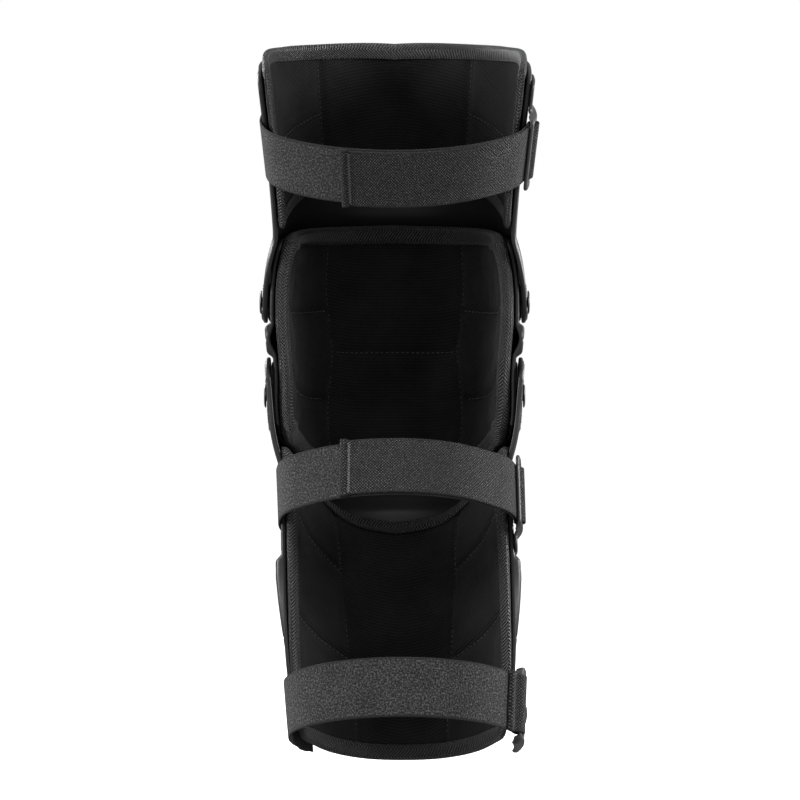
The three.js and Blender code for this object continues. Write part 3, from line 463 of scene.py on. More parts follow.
def tube_faces(n, m, closed):
    """Quads between n rings of m points, and between the last and the first ring if closed."""
    number = np.arange(n * m).reshape(n, m)
    ahead, around = np.roll(number, -1, 0), lambda x: np.roll(x, -1, 1)
    quads = np.stack([number, ahead, around(ahead), around(number)], -1)
    return number, quads if closed else quads[:-1]


def round_over(depth, radius):
    """How far a face sinks at that depth from an edge of this radius: r - sqrt(r^2 - (r - d)^2)."""
    left = radius - np.clip(depth, 0, radius)
    return radius - np.sqrt(np.maximum(radius ** 2 - left ** 2, 0))


def spread(count, length, edge=(0.12, 0.35, 0.7, 1.15, 1.7, 2.6, 3.7, 5)):
    """Values from 0 to 1, even in the middle and crowded at both ends, at those millimetres."""
    e = np.array(edge) / length
    inner = np.linspace(e[-1], 1 - e[-1], count)
    return np.concatenate([[0], e[:-1], inner, 1 - e[:-1][::-1], [1]])


def edge_depth(points):
    """Millimetres from each grid point to the nearest of the grid's four edges."""
    def run(axis):
        step = np.linalg.norm(np.diff(points, axis=axis), axis=-1)
        pad = [(0, 0), (0, 0)]
        pad[axis] = (1, 0)
        length = np.pad(np.cumsum(step, axis), pad)
        return np.minimum(length, np.take(length, [-1], axis) - length)
    return np.minimum(run(0), run(1))


def capsule(x, y, half_length, radius):
    """Distance to a bar with round ends along y: |(x, y beyond the straight part)| - radius."""
    return np.hypot(x, np.maximum(np.abs(y) - half_length, 0)) - radius


def rounded_box(x, y, half_x, half_y, corner):
    """Distance to a rectangle with round corners, negative inside it."""
    qx, qy = np.abs(x) - half_x + corner, np.abs(y) - half_y + corner
    return np.hypot(np.maximum(qx, 0), np.maximum(qy, 0)) + np.minimum(np.maximum(qx, qy), 0) - corner


def drawn_to(distance, x, y, keep, tries=4):
    """Moves the grid's points beside a missing cell onto the outline where distance is 0."""
    there = np.pad(keep, 1)
    around = there[:-1, :-1].astype(int) + there[1:, :-1] + there[:-1, 1:] + there[1:, 1:]
    edge = (around > 0) & (around < 4)
    edge[0], edge[-1], edge[:, 0], edge[:, -1] = False, False, False, False
    step = 0.01
    for _ in range(tries):
        d = distance(x, y)
        gx = (distance(x + step, y) - d) / step
        gy = (distance(x, y + step) - d) / step
        size = np.maximum(gx ** 2 + gy ** 2, 0.25)
        x, y = x - np.where(edge, d * gx / size, 0), y - np.where(edge, d * gy / size, 0)
    return x, y


def cut_out(distance, x, y):
    """Keeps the cells whose middle lies inside, and draws the grid onto the cut's outline."""
    middle = lambda a: (a[:-1, :-1] + a[1:, :-1] + a[:-1, 1:] + a[1:, 1:]) / 4
    keep = distance(middle(x), middle(y)) < 0
    return *drawn_to(distance, x, y, keep), keep


# %% [markdown]
# ## Finishes
# Each finish is made from its own small repeat. Plastic has a fine moulded grain and a rim that
# handling has polished. Cloth has its threads: the lining is a knitted mesh, the binding a
# slanted rib whose tops carry a painted highlight, the strap a pile on one side and a flecked
# weave on the other. Patterns on cloth read a map in millimetres, so a thread has its real size.

# %% Node helpers
def new_material(name, colour, roughness, **sockets):
    material = bpy.data.materials.new(name)
    material.use_nodes = True
    shader = material.node_tree.nodes["Principled BSDF"]
    shader.inputs["Base Color"].default_value = (*colour, 1)
    shader.inputs["Roughness"].default_value = roughness
    for key, value in sockets.items():
        shader.inputs[key.replace("_", " ")].default_value = value
    return material, material.node_tree, shader


def node(tree, kind, *inputs, **settings):
    """A shader node. Inputs are given in order: a socket is linked, a value is set."""
    made = tree.nodes.new("ShaderNode" + kind)
    for key, value in settings.items():
        setattr(made, key, value)
    for socket, value in zip(made.inputs, inputs):
        if isinstance(value, bpy.types.NodeSocket):
            tree.links.new(value, socket)
        elif value is not None:
            socket.default_value = value
    return made.outputs


def sums(tree, operation, a, b=0.0, c=0.0):
    return node(tree, "Math", a, b, c, operation=operation)[0]


def ramp(tree, factor, stops):
    made = tree.nodes.new("ShaderNodeValToRGB")
    tree.links.new(factor, made.inputs[0])
    for k, (place, colour) in enumerate(stops):
        stop = made.color_ramp.elements[k] if k < 2 else made.color_ramp.elements.new(place)
        stop.position, stop.color = place, (*colour, 1)
    return made.outputs[0]


def bump(tree, shader, *layers):
    """Bump nodes in a chain: each layer is (height, strength, distance in metres)."""
    normal = None
    for height, strength, distance in layers:
        made = tree.nodes.new("ShaderNodeBump")
        made.inputs["Strength"].default_value = strength
        made.inputs["Distance"].default_value = distance
        tree.links.new(height, made.inputs["Height"])
        if normal is not None:
            tree.links.new(normal, made.inputs["Normal"])
        normal = made.outputs[0]
    tree.links.new(normal, shader.inputs["Normal"])


def noise(tree, place, scale, detail=2.0, roughness=0.5):
    made = tree.nodes.new("ShaderNodeTexNoise")
    made.inputs["Scale"].default_value = scale
    made.inputs["Detail"].default_value = detail
    made.inputs["Roughness"].default_value = roughness
    tree.links.new(place, made.inputs["Vector"])
    return made.outputs[0]


def grey(level, warmth=0.0):
    return (level * (1 + warmth), level, level * (1.05 - warmth))


# %% Moulded plastic
def moulded(name, level, roughness, grain, worn):
    """Satin plastic: fine grain, slow cloudiness in its gloss, and a polished, lighter rim."""
    material, tree, shader = new_material(name, grey(level), roughness, Specular_IOR_Level=0.4)
    place = node(tree, "TexCoord")[3]
    fine, cloud = noise(tree, place, grain, 3), noise(tree, place, 26, 4, 0.6)
    scuff = noise(tree, node(tree, "Mapping", place, None, (0.3, 0.9, 0.2), (900, 60, 900))[0], 1, 3, 0.65)
    rim = node(tree, "Attribute", attribute_name="rim")[2]
    edge = sums(tree, "MULTIPLY", rim, sums(tree, "MULTIPLY_ADD", cloud, 1.3, 0.25))
    scratch = sums(tree, "MULTIPLY", sums(tree, "GREATER_THAN", scuff, 0.69),
                   sums(tree, "GREATER_THAN", cloud, 0.52))
    colour = ramp(tree, sums(tree, "ADD", edge, sums(tree, "MULTIPLY", scratch, 0.25)),
                  [(0, grey(level)), (1, grey(worn))])
    tinted = node(tree, "Mix", 0.35, None, None, None, None, None, colour,
                  ramp(tree, cloud, [(0.3, grey(level * 0.75)), (0.75, grey(level * 1.3))]), data_type="RGBA")[2]
    tree.links.new(tinted, shader.inputs["Base Color"])
    gloss = sums(tree, "ADD", sums(tree, "MULTIPLY_ADD", cloud, 0.16, roughness - 0.08),
                 sums(tree, "MULTIPLY", edge, -0.1))
    tree.links.new(gloss, shader.inputs["Roughness"])
    bump(tree, shader, (fine, 0.35, 0.00012), (cloud, 0.15, 0.0006))
    return material


shell_plastic = moulded("shell_plastic", 0.020, 0.40, 2300, 0.042)
clip_plastic = moulded("clip_plastic", 0.032, 0.42, 2600, 0.075)


# %% Cloth
def across_cloth(tree):
    """The two coordinates of the cloth's own map, in millimetres."""
    place = node(tree, "UVMap", uv_map="millimetres")[0]
    split = node(tree, "SeparateXYZ", place)
    return place, split[0], split[1]


def wave(tree, value, pitch):
    """sin(2 pi value / pitch), from -1 to 1."""
    return sums(tree, "SINE", sums(tree, "MULTIPLY", value, 2 * np.pi / pitch))


def with_selvedge(tree, u, v, colour, width, dark, pale):
    """The colour, but for a band of plain ribs along both edges of the strap."""
    side = sums(tree, "GREATER_THAN", sums(tree, "ABSOLUTE", v), STRAP_WIDTH / 2 - width)
    plain = ramp(tree, wave(tree, u, 1.1), [(0.0, grey(dark)), (1.0, grey(pale))])
    return node(tree, "Mix", side, None, None, None, None, None, colour, plain, data_type="RGBA")[2]


def knitted_lining():
    """A mesh of round eyelets in staggered rows, over a soft foam."""
    material, tree, shader = new_material(
        "knitted_lining", grey(0.010), 0.92, Sheen_Weight=0.05, Sheen_Roughness=0.5, Specular_IOR_Level=0.15)
    _, u, v = across_cloth(tree)
    eyelets = sums(tree, "MULTIPLY", wave(tree, sums(tree, "MULTIPLY_ADD", v, 0.577, u), 2.5),
                   wave(tree, sums(tree, "MULTIPLY_ADD", v, -0.577, u), 2.5))
    object_place = node(tree, "TexCoord")[3]
    fuzz, cloud = noise(tree, object_place, 2600, 3), noise(tree, object_place, 30, 3)
    height = sums(tree, "MULTIPLY_ADD", eyelets, 0.5, sums(tree, "MULTIPLY", fuzz, 0.5))
    colour = ramp(tree, sums(tree, "MULTIPLY_ADD", eyelets, 0.35, sums(tree, "MULTIPLY", cloud, 0.9)),
                  [(0.05, grey(0.005)), (0.9, grey(0.028))])
    tree.links.new(colour, shader.inputs["Base Color"])
    bump(tree, shader, (height, 0.8, 0.0006), (cloud, 0.3, 0.0012))
    return material


def foam_cover():
    """Smooth knit on the face of a pad that lies under the plate."""
    material, tree, shader = new_material("foam_cover", grey(0.014), 0.9, Sheen_Weight=0.06,
                                          Specular_IOR_Level=0.15)
    _, u, v = across_cloth(tree)
    knit = sums(tree, "MULTIPLY", wave(tree, u, 1.3), wave(tree, v, 1.7))
    cloud = noise(tree, node(tree, "TexCoord")[3], 45, 3)
    colour = ramp(tree, sums(tree, "MULTIPLY_ADD", knit, 0.25, cloud),
                  [(0.2, grey(0.008)), (0.85, grey(0.022))])
    tree.links.new(colour, shader.inputs["Base Color"])
    bump(tree, shader, (knit, 0.5, 0.0003), (cloud, 0.3, 0.001))
    return material


RIB_PITCH = 2.2


def ribbed_binding():
    """Herringbone tape: slanted ribs that turn back on themselves at the tape's fold, with a painted highlight
    along each rib's top.
    """
    material, tree, shader = new_material(
        "ribbed_binding", grey(0.022), 0.5, Sheen_Weight=0.1, Sheen_Roughness=0.4, Specular_IOR_Level=0.5)
    _, u, v = across_cloth(tree)
    slant = sums(tree, "MULTIPLY", sums(tree, "PINGPONG", v, 4.6), 1.1)
    rib = wave(tree, sums(tree, "ADD", u, slant), RIB_PITCH)
    fuzz = noise(tree, node(tree, "TexCoord")[3], 1500, 3)
    high = sums(tree, "MULTIPLY_ADD", rib, 0.34, sums(tree, "MULTIPLY_ADD", fuzz, 0.7, 0.1))
    # The ramp paints the rib tops far paler than the tape's dark base: a painted highlight along each rib.
    colour = ramp(tree, high, [(0.2, grey(0.004)), (0.92, grey(0.17)), (0.56, grey(0.018))])
    tree.links.new(colour, shader.inputs["Base Color"])
    bump(tree, shader, (rib, 1.0, 0.0008), (fuzz, 0.6, 0.0005))
    return material


def brushed_face():
    """The loop side of the elastic: a pebbled pile of crushed loops, with plain selvedges."""
    material, tree, shader = new_material(
        "brushed_face", grey(0.045), 0.9, Sheen_Weight=0.12, Sheen_Roughness=0.5, Specular_IOR_Level=0.2)
    place, u, v = across_cloth(tree)
    loops, curl = noise(tree, place, 0.76, 3, 0.75), noise(tree, place, 2.1, 2, 0.6)
    cloud = noise(tree, node(tree, "TexCoord")[3], 60, 3)
    pile = sums(tree, "MULTIPLY_ADD", loops, 0.75, sums(tree, "MULTIPLY", curl, 0.35))
    colour = ramp(tree, sums(tree, "MULTIPLY_ADD", cloud, 0.05, pile),
                  [(0.445, grey(0.005, 0.02)), (0.71, grey(0.250, 0.02)), (0.575, grey(0.027, 0.02))])
    colour = with_selvedge(tree, u, v, colour, 1.3, 0.018, 0.05)
    tree.links.new(colour, shader.inputs["Base Color"])
    bump(tree, shader, (pile, 1.0, 0.0016), (curl, 0.6, 0.0005))
    return material


def woven_face():
    """The other side of the elastic: flecks of paler thread over a faint diamond twill."""
    material, tree, shader = new_material(
        "woven_face", grey(0.028), 0.7, Sheen_Weight=0.08, Sheen_Roughness=0.4, Specular_IOR_Level=0.3)
    place, u, v = across_cloth(tree)
    twill = wave(tree, sums(tree, "ADD", u, v), 2.0)
    counter = wave(tree, sums(tree, "MULTIPLY_ADD", v, -1.15, u), 2.3)
    speck = noise(tree, place, 0.9, 3, 0.8)
    cloud = noise(tree, node(tree, "TexCoord")[3], 80, 3)
    lines = sums(tree, "MULTIPLY_ADD", twill, 0.12, sums(tree, "MULTIPLY", counter, 0.09))
    weave = sums(tree, "ADD", lines, sums(tree, "MULTIPLY_ADD", cloud, 0.04, speck))
    colour = ramp(tree, weave, [(0.37, grey(0.002, 0.02)), (0.83, grey(0.240, 0.02)),
                                (0.59, grey(0.013, 0.02))])
    colour = with_selvedge(tree, u, v, colour, 1.2, 0.012, 0.04)
    tree.links.new(colour, shader.inputs["Base Color"])
    bump(tree, shader, (weave, 1.0, 0.0011), (speck, 0.5, 0.0004))
    return material


def sewing_thread(name, level):
    material, tree, shader = new_material(name, grey(level), 0.6, Sheen_Weight=0.3)
    twist = noise(tree, node(tree, "TexCoord")[3], 4200, 2)
    colour = ramp(tree, twist, [(0.3, grey(level * 0.6)), (0.7, grey(level * 1.5))])
    tree.links.new(colour, shader.inputs["Base Color"])
    bump(tree, shader, (twist, 0.5, 0.0001))
    return material


def coated_steel():
    """Black coating on steel: a little metal shows where it is rubbed."""
    material, tree, shader = new_material("coated_steel", grey(0.05), 0.34, Metallic=0.7)
    place = node(tree, "TexCoord")[3]
    cloud, fine = noise(tree, place, 90, 4, 0.6), noise(tree, place, 2600, 2)
    tree.links.new(ramp(tree, cloud, [(0.35, grey(0.035)), (0.8, grey(0.11))]), shader.inputs["Base Color"])
    tree.links.new(sums(tree, "MULTIPLY_ADD", cloud, 0.3, 0.22), shader.inputs["Roughness"])
    bump(tree, shader, (fine, 0.2, 0.00008))
    return material


lining, cover, binding = knitted_lining(), foam_cover(), ribbed_binding()
brushed, woven, steel = brushed_face(), woven_face(), coated_steel()
thread_finish, hem_thread = sewing_thread("sewing_thread", 0.05), sewing_thread("hem_thread", 0.14)

paper, tree, shader = new_material("studio_floor", (0.93, 0.93, 0.93), 0.8,
                                   Emission_Color=(1, 1, 1, 1), Emission_Strength=0.62)
speck = noise(tree, node(tree, "TexCoord")[3], 3, 3)
tree.links.new(ramp(tree, speck, [(0.2, (0.925,) * 3), (0.8, (0.94,) * 3)]), shader.inputs["Base Color"])
floor.data.materials.append(paper)


# %% [markdown]
# ## Moulded plates
# A plate is a wall over its patch. Its outer face carries the raised spine and side panels that
# stiffen the real plate, a bead along its edge, ribs between its vents and rings round its
# rivets. Each of them is a height that is added to the wall, so there are no joints in it.

# %% Heights on the plates
def plateau(distance):
    return 1 - smooth(distance, 0.62, 1)


def ridge(distance, width):
    """A soft round-topped line: exp(-(distance / width)^2)."""
    return np.exp(-(distance / width) ** 2)


# Columns: turn, share of the length, half widths of both, rise, length of the taper at the end
THIGH_RELIEF = [(0, .56, 15, .36, 3.2, 0.38), (60, .36, 17, .12, 1.6, 0.38)]
SHIN_RELIEF = [(0, .58, 13, .40, 3.6, 0.38), (74, .575, 24, .115, 4.4, 1.7)]


def relief(rows, limb, turn, along):
    """Sum of rise x plateau(round) x (steep start, then a taper), with a crease beside it."""
    total = 0
    for middle, at, half_turn, half_along, rise, taper in rows:
        a = np.abs(np.abs(turn / RAD) - middle) / half_turn
        up = (along / limb.length - at) / half_along
        b = np.abs(up)
        far = (a ** 6 + b ** 6) ** (1 / 6)
        start = smooth(up, -1, -0.62 if taper < 1 else -0.8)
        run_out = 1 - smooth(up, 1 - taper, 1) if taper < 1 else np.clip((1.25 - up) / taper, 0, 1)
        total = total + rise * plateau(a) * start * run_out
        total = total - 0.45 * ridge((far - 1.03) * half_turn * 1.4, 0.9)
        total = total + 0.35 * ridge((far - 0.55) * half_turn * 1.4, 0.8)
    return total


VENT_WIDTH, VENT_LENGTH = 8, 28
THIGH_VENTS = [(27, .52, 24), (41, .70, 24)]
SHIN_VENTS = [(26, .40, -22), (26, .58, -22), (26, .76, -22)]


def vent_distance(limb, vents, x, along):
    """Distance to the nearest vent. x is millimetres round the plate's front radius."""
    nearest = np.full(np.shape(x), 99.0)
    for turn, at, slant in vents:
        middle = np.abs(x) - turn * RAD * limb.front
        c, s = np.cos(slant * RAD), np.sin(slant * RAD)
        up = along - at * limb.length
        nearest = np.minimum(nearest, capsule(
            middle * c + up * s, up * c - middle * s, (VENT_LENGTH - VENT_WIDTH) / 2, VENT_WIDTH / 2))
    return nearest


def plate(name, limb, shape, rows, vents, detail, node_name, ring_radius, columns, across):
    """Outer face = inner face + wall + relief + bead - round-over, over a grid with vents cut."""
    u, v = np.meshgrid(2 * spread(columns, 280) - 1, spread(across, limb.length), indexing="ij")
    turn, along = shape(u, v)
    x = turn * limb.front

    def hole(x, along):
        side = (np.abs(x / limb.front) / RAD - 90) * RAD * CUP_UPPER_HALF
        return -np.minimum(vent_distance(limb, vents, x, along),
                           np.hypot(side, along) - SHANK_RADIUS - HOLE_PLAY)

    x, along, keep = cut_out(hole, x, along)
    turn = x / limb.front
    inner = plate_inner(limb, turn, along)
    base = limb_point(limb, turn, along, inner + WALL)
    vent = vent_distance(limb, vents, x, along)
    rim = edge_depth(base)
    edge = np.minimum(rim, np.maximum(-hole(x, along), 0))
    far = np.hypot((np.abs(turn) / RAD - 90) * RAD * CUP_UPPER_HALF, along)
    side = smooth(np.abs(turn) / RAD, 55, 66)
    lift = relief(rows, limb, turn, along)
    lift = lift + 0.5 * ridge(rim - 3.4, 1.3) - 0.3 * ridge(rim - 6.6, 0.9)
    lift = lift + 0.9 * ridge(np.abs(vent) - 2.6, 1.4)
    for radius in ring_radius:
        lift = lift + 0.7 * side * ridge(far - radius, 0.9)
    lift = lift + detail(limb, turn, along, rim, vent)
    sink = round_over(edge, OUTER_ROUND)
    outer = limb_point(limb, turn, along, inner + WALL + lift * smooth(edge, 0, 2.2) - sink)
    under = limb_point(limb, turn, along, inner + round_over(edge, INNER_ROUND))
    worn = np.clip(ridge(rim, 1.6) + ridge(vent, 1.2) + 0.6 * (lift > 1.2) * ridge(rim - 3.4, 2), 0, 1)
    hard_wall(name, outer, under, keep, worn, 0.4, limb.body, shell_plastic, node_name)


def thigh_detail(limb, turn, along, rim, vent):
    """Slanted ribs on the flanks, and three short steps down the spine towards the skirt."""
    a = np.abs(turn) / RAD
    slanted = along - 0.45 * (a - 30) * RAD * limb.front
    ribs = sum(ridge(slanted - at * limb.length, 1.1) for at in (0.40, 0.585, 0.77))
    flank = smooth(a, 21, 25) * (1 - smooth(a, 48, 53)) * smooth(along, 44, 52) * (1 - smooth(along, 140, 147))
    steps = sum(ridge(along - at + 0.10 * a, 1.2) for at in (8, 17, 26)) * (1 - smooth(a, 24, 32))
    keel = ridge(a, 1.6) * smooth(along, 40, 55) * smooth(rim, 6, 12)
    return 0.9 * ribs * flank * smooth(vent, 3, 6) - 0.6 * steps + 0.8 * keel


def shin_detail(limb, turn, along, rim, vent):
    """A keel down the spine, ribs between the vents and two creases over the ankle end."""
    a = np.abs(turn) / RAD
    slanted = along + 0.42 * (a - 26) * RAD * limb.front
    ribs = sum(ridge(slanted - at * limb.length, 1.1) for at in (0.31, 0.49, 0.67, 0.85))
    flank = smooth(a, 17, 21) * (1 - smooth(a, 37, 43))
    steps = sum(ridge(along - at + 0.12 * a, 1.2) for at in (6, 15, 24)) * (1 - smooth(a, 24, 32))
    keel = ridge(a, 2.2) * smooth(along, 46, 70) * smooth(rim, 6, 14)
    return 0.8 * ribs * flank * smooth(vent, 3, 6) * smooth(rim, 5, 9) - 0.6 * steps + keel


plate("thigh_shell", thigh, thigh_plate_patch, THIGH_RELIEF, THIGH_VENTS, thigh_detail,
      "thigh_plate", (11.2,), 205, 122)
plate("shin_shell", shin, shin_plate_patch, SHIN_RELIEF, SHIN_VENTS, shin_detail,
      "shin_plate", (13.5, 18, 22.5), 190, 165)


# %% [markdown]
# ## Knee cup
# The cup is a barrel about both hinge axes, so the skirts of the two plates glide over it. Its
# middle band never passes under a skirt, so that is where its shield and grip lines are.

# %% Knee cup
SHIELD_LOW, SHIELD_HIGH = -(HINGE_RISE - SHIN_RISE - 5), HINGE_RISE - SKIRT_DROP - 5


def knee_cup():
    u, v = np.meshgrid(2 * spread(195, 300) - 1, spread(105, 150), indexing="ij")
    turn, z = cup_patch(u, v)
    x = turn * CUP_UPPER_HALF

    def hole(x, z):
        side = np.abs(x) - np.pi / 2 * CUP_UPPER_HALF
        near = np.minimum(np.hypot(side, z - HINGE_RISE), np.hypot(side, z + HINGE_RISE))
        return SHANK_RADIUS + HOLE_PLAY - near

    x, z, keep = cut_out(hole, x, z)
    turn = x / CUP_UPPER_HALF
    rim = edge_depth(cup_point(turn, z, 0))
    edge = np.minimum(rim, np.maximum(-hole(x, z), 0))
    a = np.abs(turn) / RAD
    narrow = 0.37 * np.maximum(a - 24, 0)
    band = np.maximum(np.maximum(z - SHIELD_HIGH + narrow, SHIELD_LOW + narrow - z), (a - 40) * 1.5)
    shield = 1 - smooth(band, -2.4, 0)
    grip = sum(ridge(z - z0, 0.8) for z0 in (-7.5, -1.5, 4.5, 10.5))
    lift = 2.2 * shield - 0.5 * shield * grip * smooth(-band, 3, 6) * smooth(a, 9, 12)
    lift = lift - 0.5 * shield * ridge(a - 7.5, 0.6) * smooth(-band, 2.5, 4.5)
    off = np.clip(np.abs(z - 6) / 11.5, 0, 1)
    band_lift = CUP_BRIDGE * ((1 - off ** 10) ** 2 - (1 - off ** 2) ** 2) + 0.4 * (1 - off ** 10)
    lift = lift + smooth(a, 58, 70) * (band_lift - 0.6 * ridge(z - 6, 0.9) * smooth(a, 66, 74))
    side = (a - 90) * RAD * CUP_UPPER_HALF
    for z0, reach in ((HINGE_RISE, ARM_RADIUS - 1.4), (-HINGE_RISE, EAR_RADIUS - 3)):
        lift = lift + 1.15 * (1 - smooth(np.hypot(side, z - z0), reach - 1.2, reach))
    outer = cup_point(turn, z, lift * smooth(edge, 0, 2.2) - round_over(edge, OUTER_ROUND))
    under = cup_point(turn, z, -WALL + round_over(edge, INNER_ROUND))
    worn = np.clip(ridge(rim, 1.6) + ridge(band, 1.2), 0, 1)
    hard_wall("knee_shell", outer, under, keep, worn, 0.4, "knee",
              shell_plastic, "knee_cup")


knee_cup()


# %% [markdown]
# ## Padding
# Each pad is foam between two layers of knit. It is full in the middle and thin at its rim,
# where a tape binds its edges. Sewn channels divide the lining into cells that bulge a little
# inwards. The pad's corners are round, which the mapping below gives the square grid.
# The cells are a cloth simulation: the lining is held along its seams and at its rim, air is
# let in behind it, and its rise, with the puckers beside the seams, is read back as an array.

# %% Pad surfaces
def round_corners(a, b, power=14):
    """Pulls a square's corners in to a superellipse, and leaves its middle alone."""
    m = np.maximum(np.maximum(np.abs(a), np.abs(b)), 1e-9)
    reach = (np.abs(a / m) ** power + np.abs(b / m) ** power) ** (-1 / power)
    scale = mix(1, reach, m ** 4)
    return a * scale, b * scale


RIM_INSET = 2.3
SOFT_EDGE = (1, 2.5, 4.5, 7)


def pad_share(a, b, size, inset=0.0):
    """(a, b) from -1 to 1, drawn in by the tape's bulge and an inset in mm, with round corners."""
    u, b = round_corners(a * (1 - (RIM_INSET + inset) / 140), b * (1 - (RIM_INSET + inset) / (size / 2)))
    return u, (b + 1) / 2


def pad_thickness(full, rim, out, v):
    """Rim thickness at every edge, rising as a quarter sine to the full thickness."""
    from_edge = np.minimum(np.minimum(1 - out, 2 * v), 2 * (1 - v)) / 0.34
    return mix(rim, full, np.sin(np.clip(from_edge, 0, 1) * np.pi / 2))


def knee_section(u, v):
    """Functions of the share across the pad: 0 under the cup and 1 at the lining."""
    turn, z = knee_pad_patch(u, v)
    thick = pad_thickness(KNEE_PAD_THICK, RIM_THICK, np.abs(u), v)
    return thick, lambda depth: cup_point(turn, z, -WALL - PAD_GAP - depth, 0)


def limb_section(limb, shape):
    def section(u, v):
        turn, along = shape(u, v)
        outer = plate_inner(limb, turn, along) - PAD_GAP
        full = outer - limb_radius(limb, turn, along, 0, 0)
        thick = pad_thickness(full, np.minimum(RIM_THICK, full), np.abs(u), v)
        return thick, lambda depth: limb_point(limb, turn, along, outer - depth)
    return section


def channel_lines(u, v, lines):
    """Distance, in shares of the pad, to the nearest sewn line. A line is a list of (|u|, v)."""
    nearest = np.full(u.shape, 9.0)
    p = np.stack([np.abs(u) * 1.6, v], -1)
    for line in lines:
        for (u0, v0), (u1, v1) in zip(line[:-1], line[1:]):
            a, b = np.array([u0 * 1.6, v0]), np.array([u1 * 1.6, v1])
            t = np.clip(((p - a) @ (b - a)) / ((b - a) @ (b - a)), 0, 1)
            nearest = np.minimum(nearest, np.linalg.norm(p - a - t[..., None] * (b - a), axis=-1))
    return nearest


def blown_up(rest, away, held_points, pressure=4.0, last=20):
    """How far each point of a cloth moves when it is held at some points and air fills it."""
    cells = np.ones((rest.shape[0] - 1, rest.shape[1] - 1), bool)
    quads = wall_faces(cells)[:cells.size]
    a, b, d = (rest.reshape(-1, 3)[quads[:, k]] for k in (0, 1, 3))
    facing = np.cross(b - a, d - a)
    if np.einsum("ij,ij", facing, away.reshape(-1, 3)[quads[:, 0]]) < 0:
        quads = quads[:, ::-1]
    mesh = bpy.data.meshes.new("lining_cloth")
    mesh.from_pydata((rest.reshape(-1, 3) / 1000).tolist(), [], quads.tolist())
    cloth = bpy.data.objects.new("lining_cloth", mesh)
    scene = bpy.context.scene
    scene.collection.objects.link(cloth)
    held = cloth.vertex_groups.new(name="held")
    held.add(np.flatnonzero(held_points.ravel()).tolist(), 1.0, "REPLACE")
    air = cloth.modifiers.new("air", "CLOTH")
    air.settings.vertex_group_mass = "held"
    air.settings.use_pressure = True
    air.settings.uniform_pressure_force = pressure
    air.settings.effector_weights.gravity = 0
    air.settings.tension_stiffness = air.settings.compression_stiffness = 8
    air.settings.bending_stiffness = 0.05
    air.settings.shrink_min = -0.035
    air.settings.quality = 6
    air.collision_settings.use_collision = False
    for moment in range(1, last + 1):
        scene.frame_set(moment)
    moved = np.empty(rest.size, np.float32)
    cloth.evaluated_get(bpy.context.evaluated_depsgraph_get()).data.vertices.foreach_get("co", moved)
    scene.frame_set(1)
    bpy.data.objects.remove(cloth)
    return moved.reshape(rest.shape) * 1000 - rest


def sampled(field, a, b):
    """A coarse square field read at (a, b) from -1 to 1, by a straight mix of its four corners."""
    n, m = field.shape[:2]
    i, j = (a + 1) / 2 * (n - 1), (b + 1) / 2 * (m - 1)
    i0, j0 = np.clip(i.astype(int), 0, n - 2), np.clip(j.astype(int), 0, m - 2)
    s, t = (i - i0)[..., None], (j - j0)[..., None]
    low = mix(field[i0, j0], field[i0 + 1, j0], s)
    return mix(low, mix(field[i0, j0 + 1], field[i0 + 1, j0 + 1], s), t)


def softened(field):
    """Weighs each point 2 to 1 against its neighbours, first along one side and then the other."""
    for axis in (0, 1):
        pad_width = [(0, 0)] * 3
        pad_width[axis] = (1, 1)
        wide = np.pad(field, pad_width, mode="edge")
        low, high = (np.take(wide, np.arange(k, k + field.shape[axis]), axis) for k in (0, 2))
        field = field / 2 + (low + high) / 4
    return field


def cells_of(section, lines, size, puff, count):
    """The lining between its seams, blown up as a cloth and scaled to rise by the named amount."""
    a, b = np.meshgrid(np.linspace(-1, 1, count[0]), np.linspace(-1, 1, count[1]), indexing="ij")
    u, v = pad_share(a, b, size)
    thick, place = section(u, v)
    rest, away = place(thick - 0.8 * puff), place(thick) - place(0)
    rim = np.minimum(1 - np.abs(a), 1 - np.abs(b)) * size / 2 < 4.5
    moved = blown_up(rest, away, rim | (channel_lines(u, v, lines) * size < 1.5))
    unit = away / np.linalg.norm(away, axis=-1, keepdims=True)
    rise = np.einsum("ijk,ijk->ij", moved, unit)
    most = np.percentile(rise, 98)
    print("lining rose by", round(float(most), 2), "mm in the simulation")
    scale = 1.25 * puff / max(most, 0.05)
    lifted = unit * np.clip(rise * scale, -0.3, 1.6 * puff)[..., None]
    return lambda a, b: softened(softened(sampled(lifted, a, b)))


def pad(name, section, lines, body, node_name, columns, across, size, puff, fill, count):
    """Outer face under the plate, inner face with channels and cells, thin at the rim."""
    a, b = np.meshgrid(2 * spread(columns, 280, SOFT_EDGE) - 1,
                       2 * spread(across, size, SOFT_EDGE) - 1, indexing="ij")
    u, v = pad_share(a, b, size)
    thick, place = section(u, v)
    line = channel_lines(u, v, lines) * size
    inside = np.minimum(1 - np.abs(a), 1 - np.abs(b)) * size / 2
    groove = np.minimum(2.0, thick * 0.35) * ridge(line, 2.5) * smooth(inside, 3, 8)
    pinch = 0.6 * np.exp(-inside / 2)
    outer = place(0.25 + pinch)
    cells = cells_of(section, lines, size, puff, count)(a, b)
    inner = place(thick - 0.8 * puff - groove - pinch) + cells
    round_mm = np.cumsum(np.pad(np.linalg.norm(np.diff(outer, axis=0), axis=-1), [(1, 0), (0, 0)]), 0)
    up_mm = np.cumsum(np.pad(np.linalg.norm(np.diff(outer, axis=1), axis=-1), [(0, 0), (1, 0)]), 1)
    piece = soft_wall(name, outer, inner, round_mm, up_mm, body, [lining, cover], node_name)


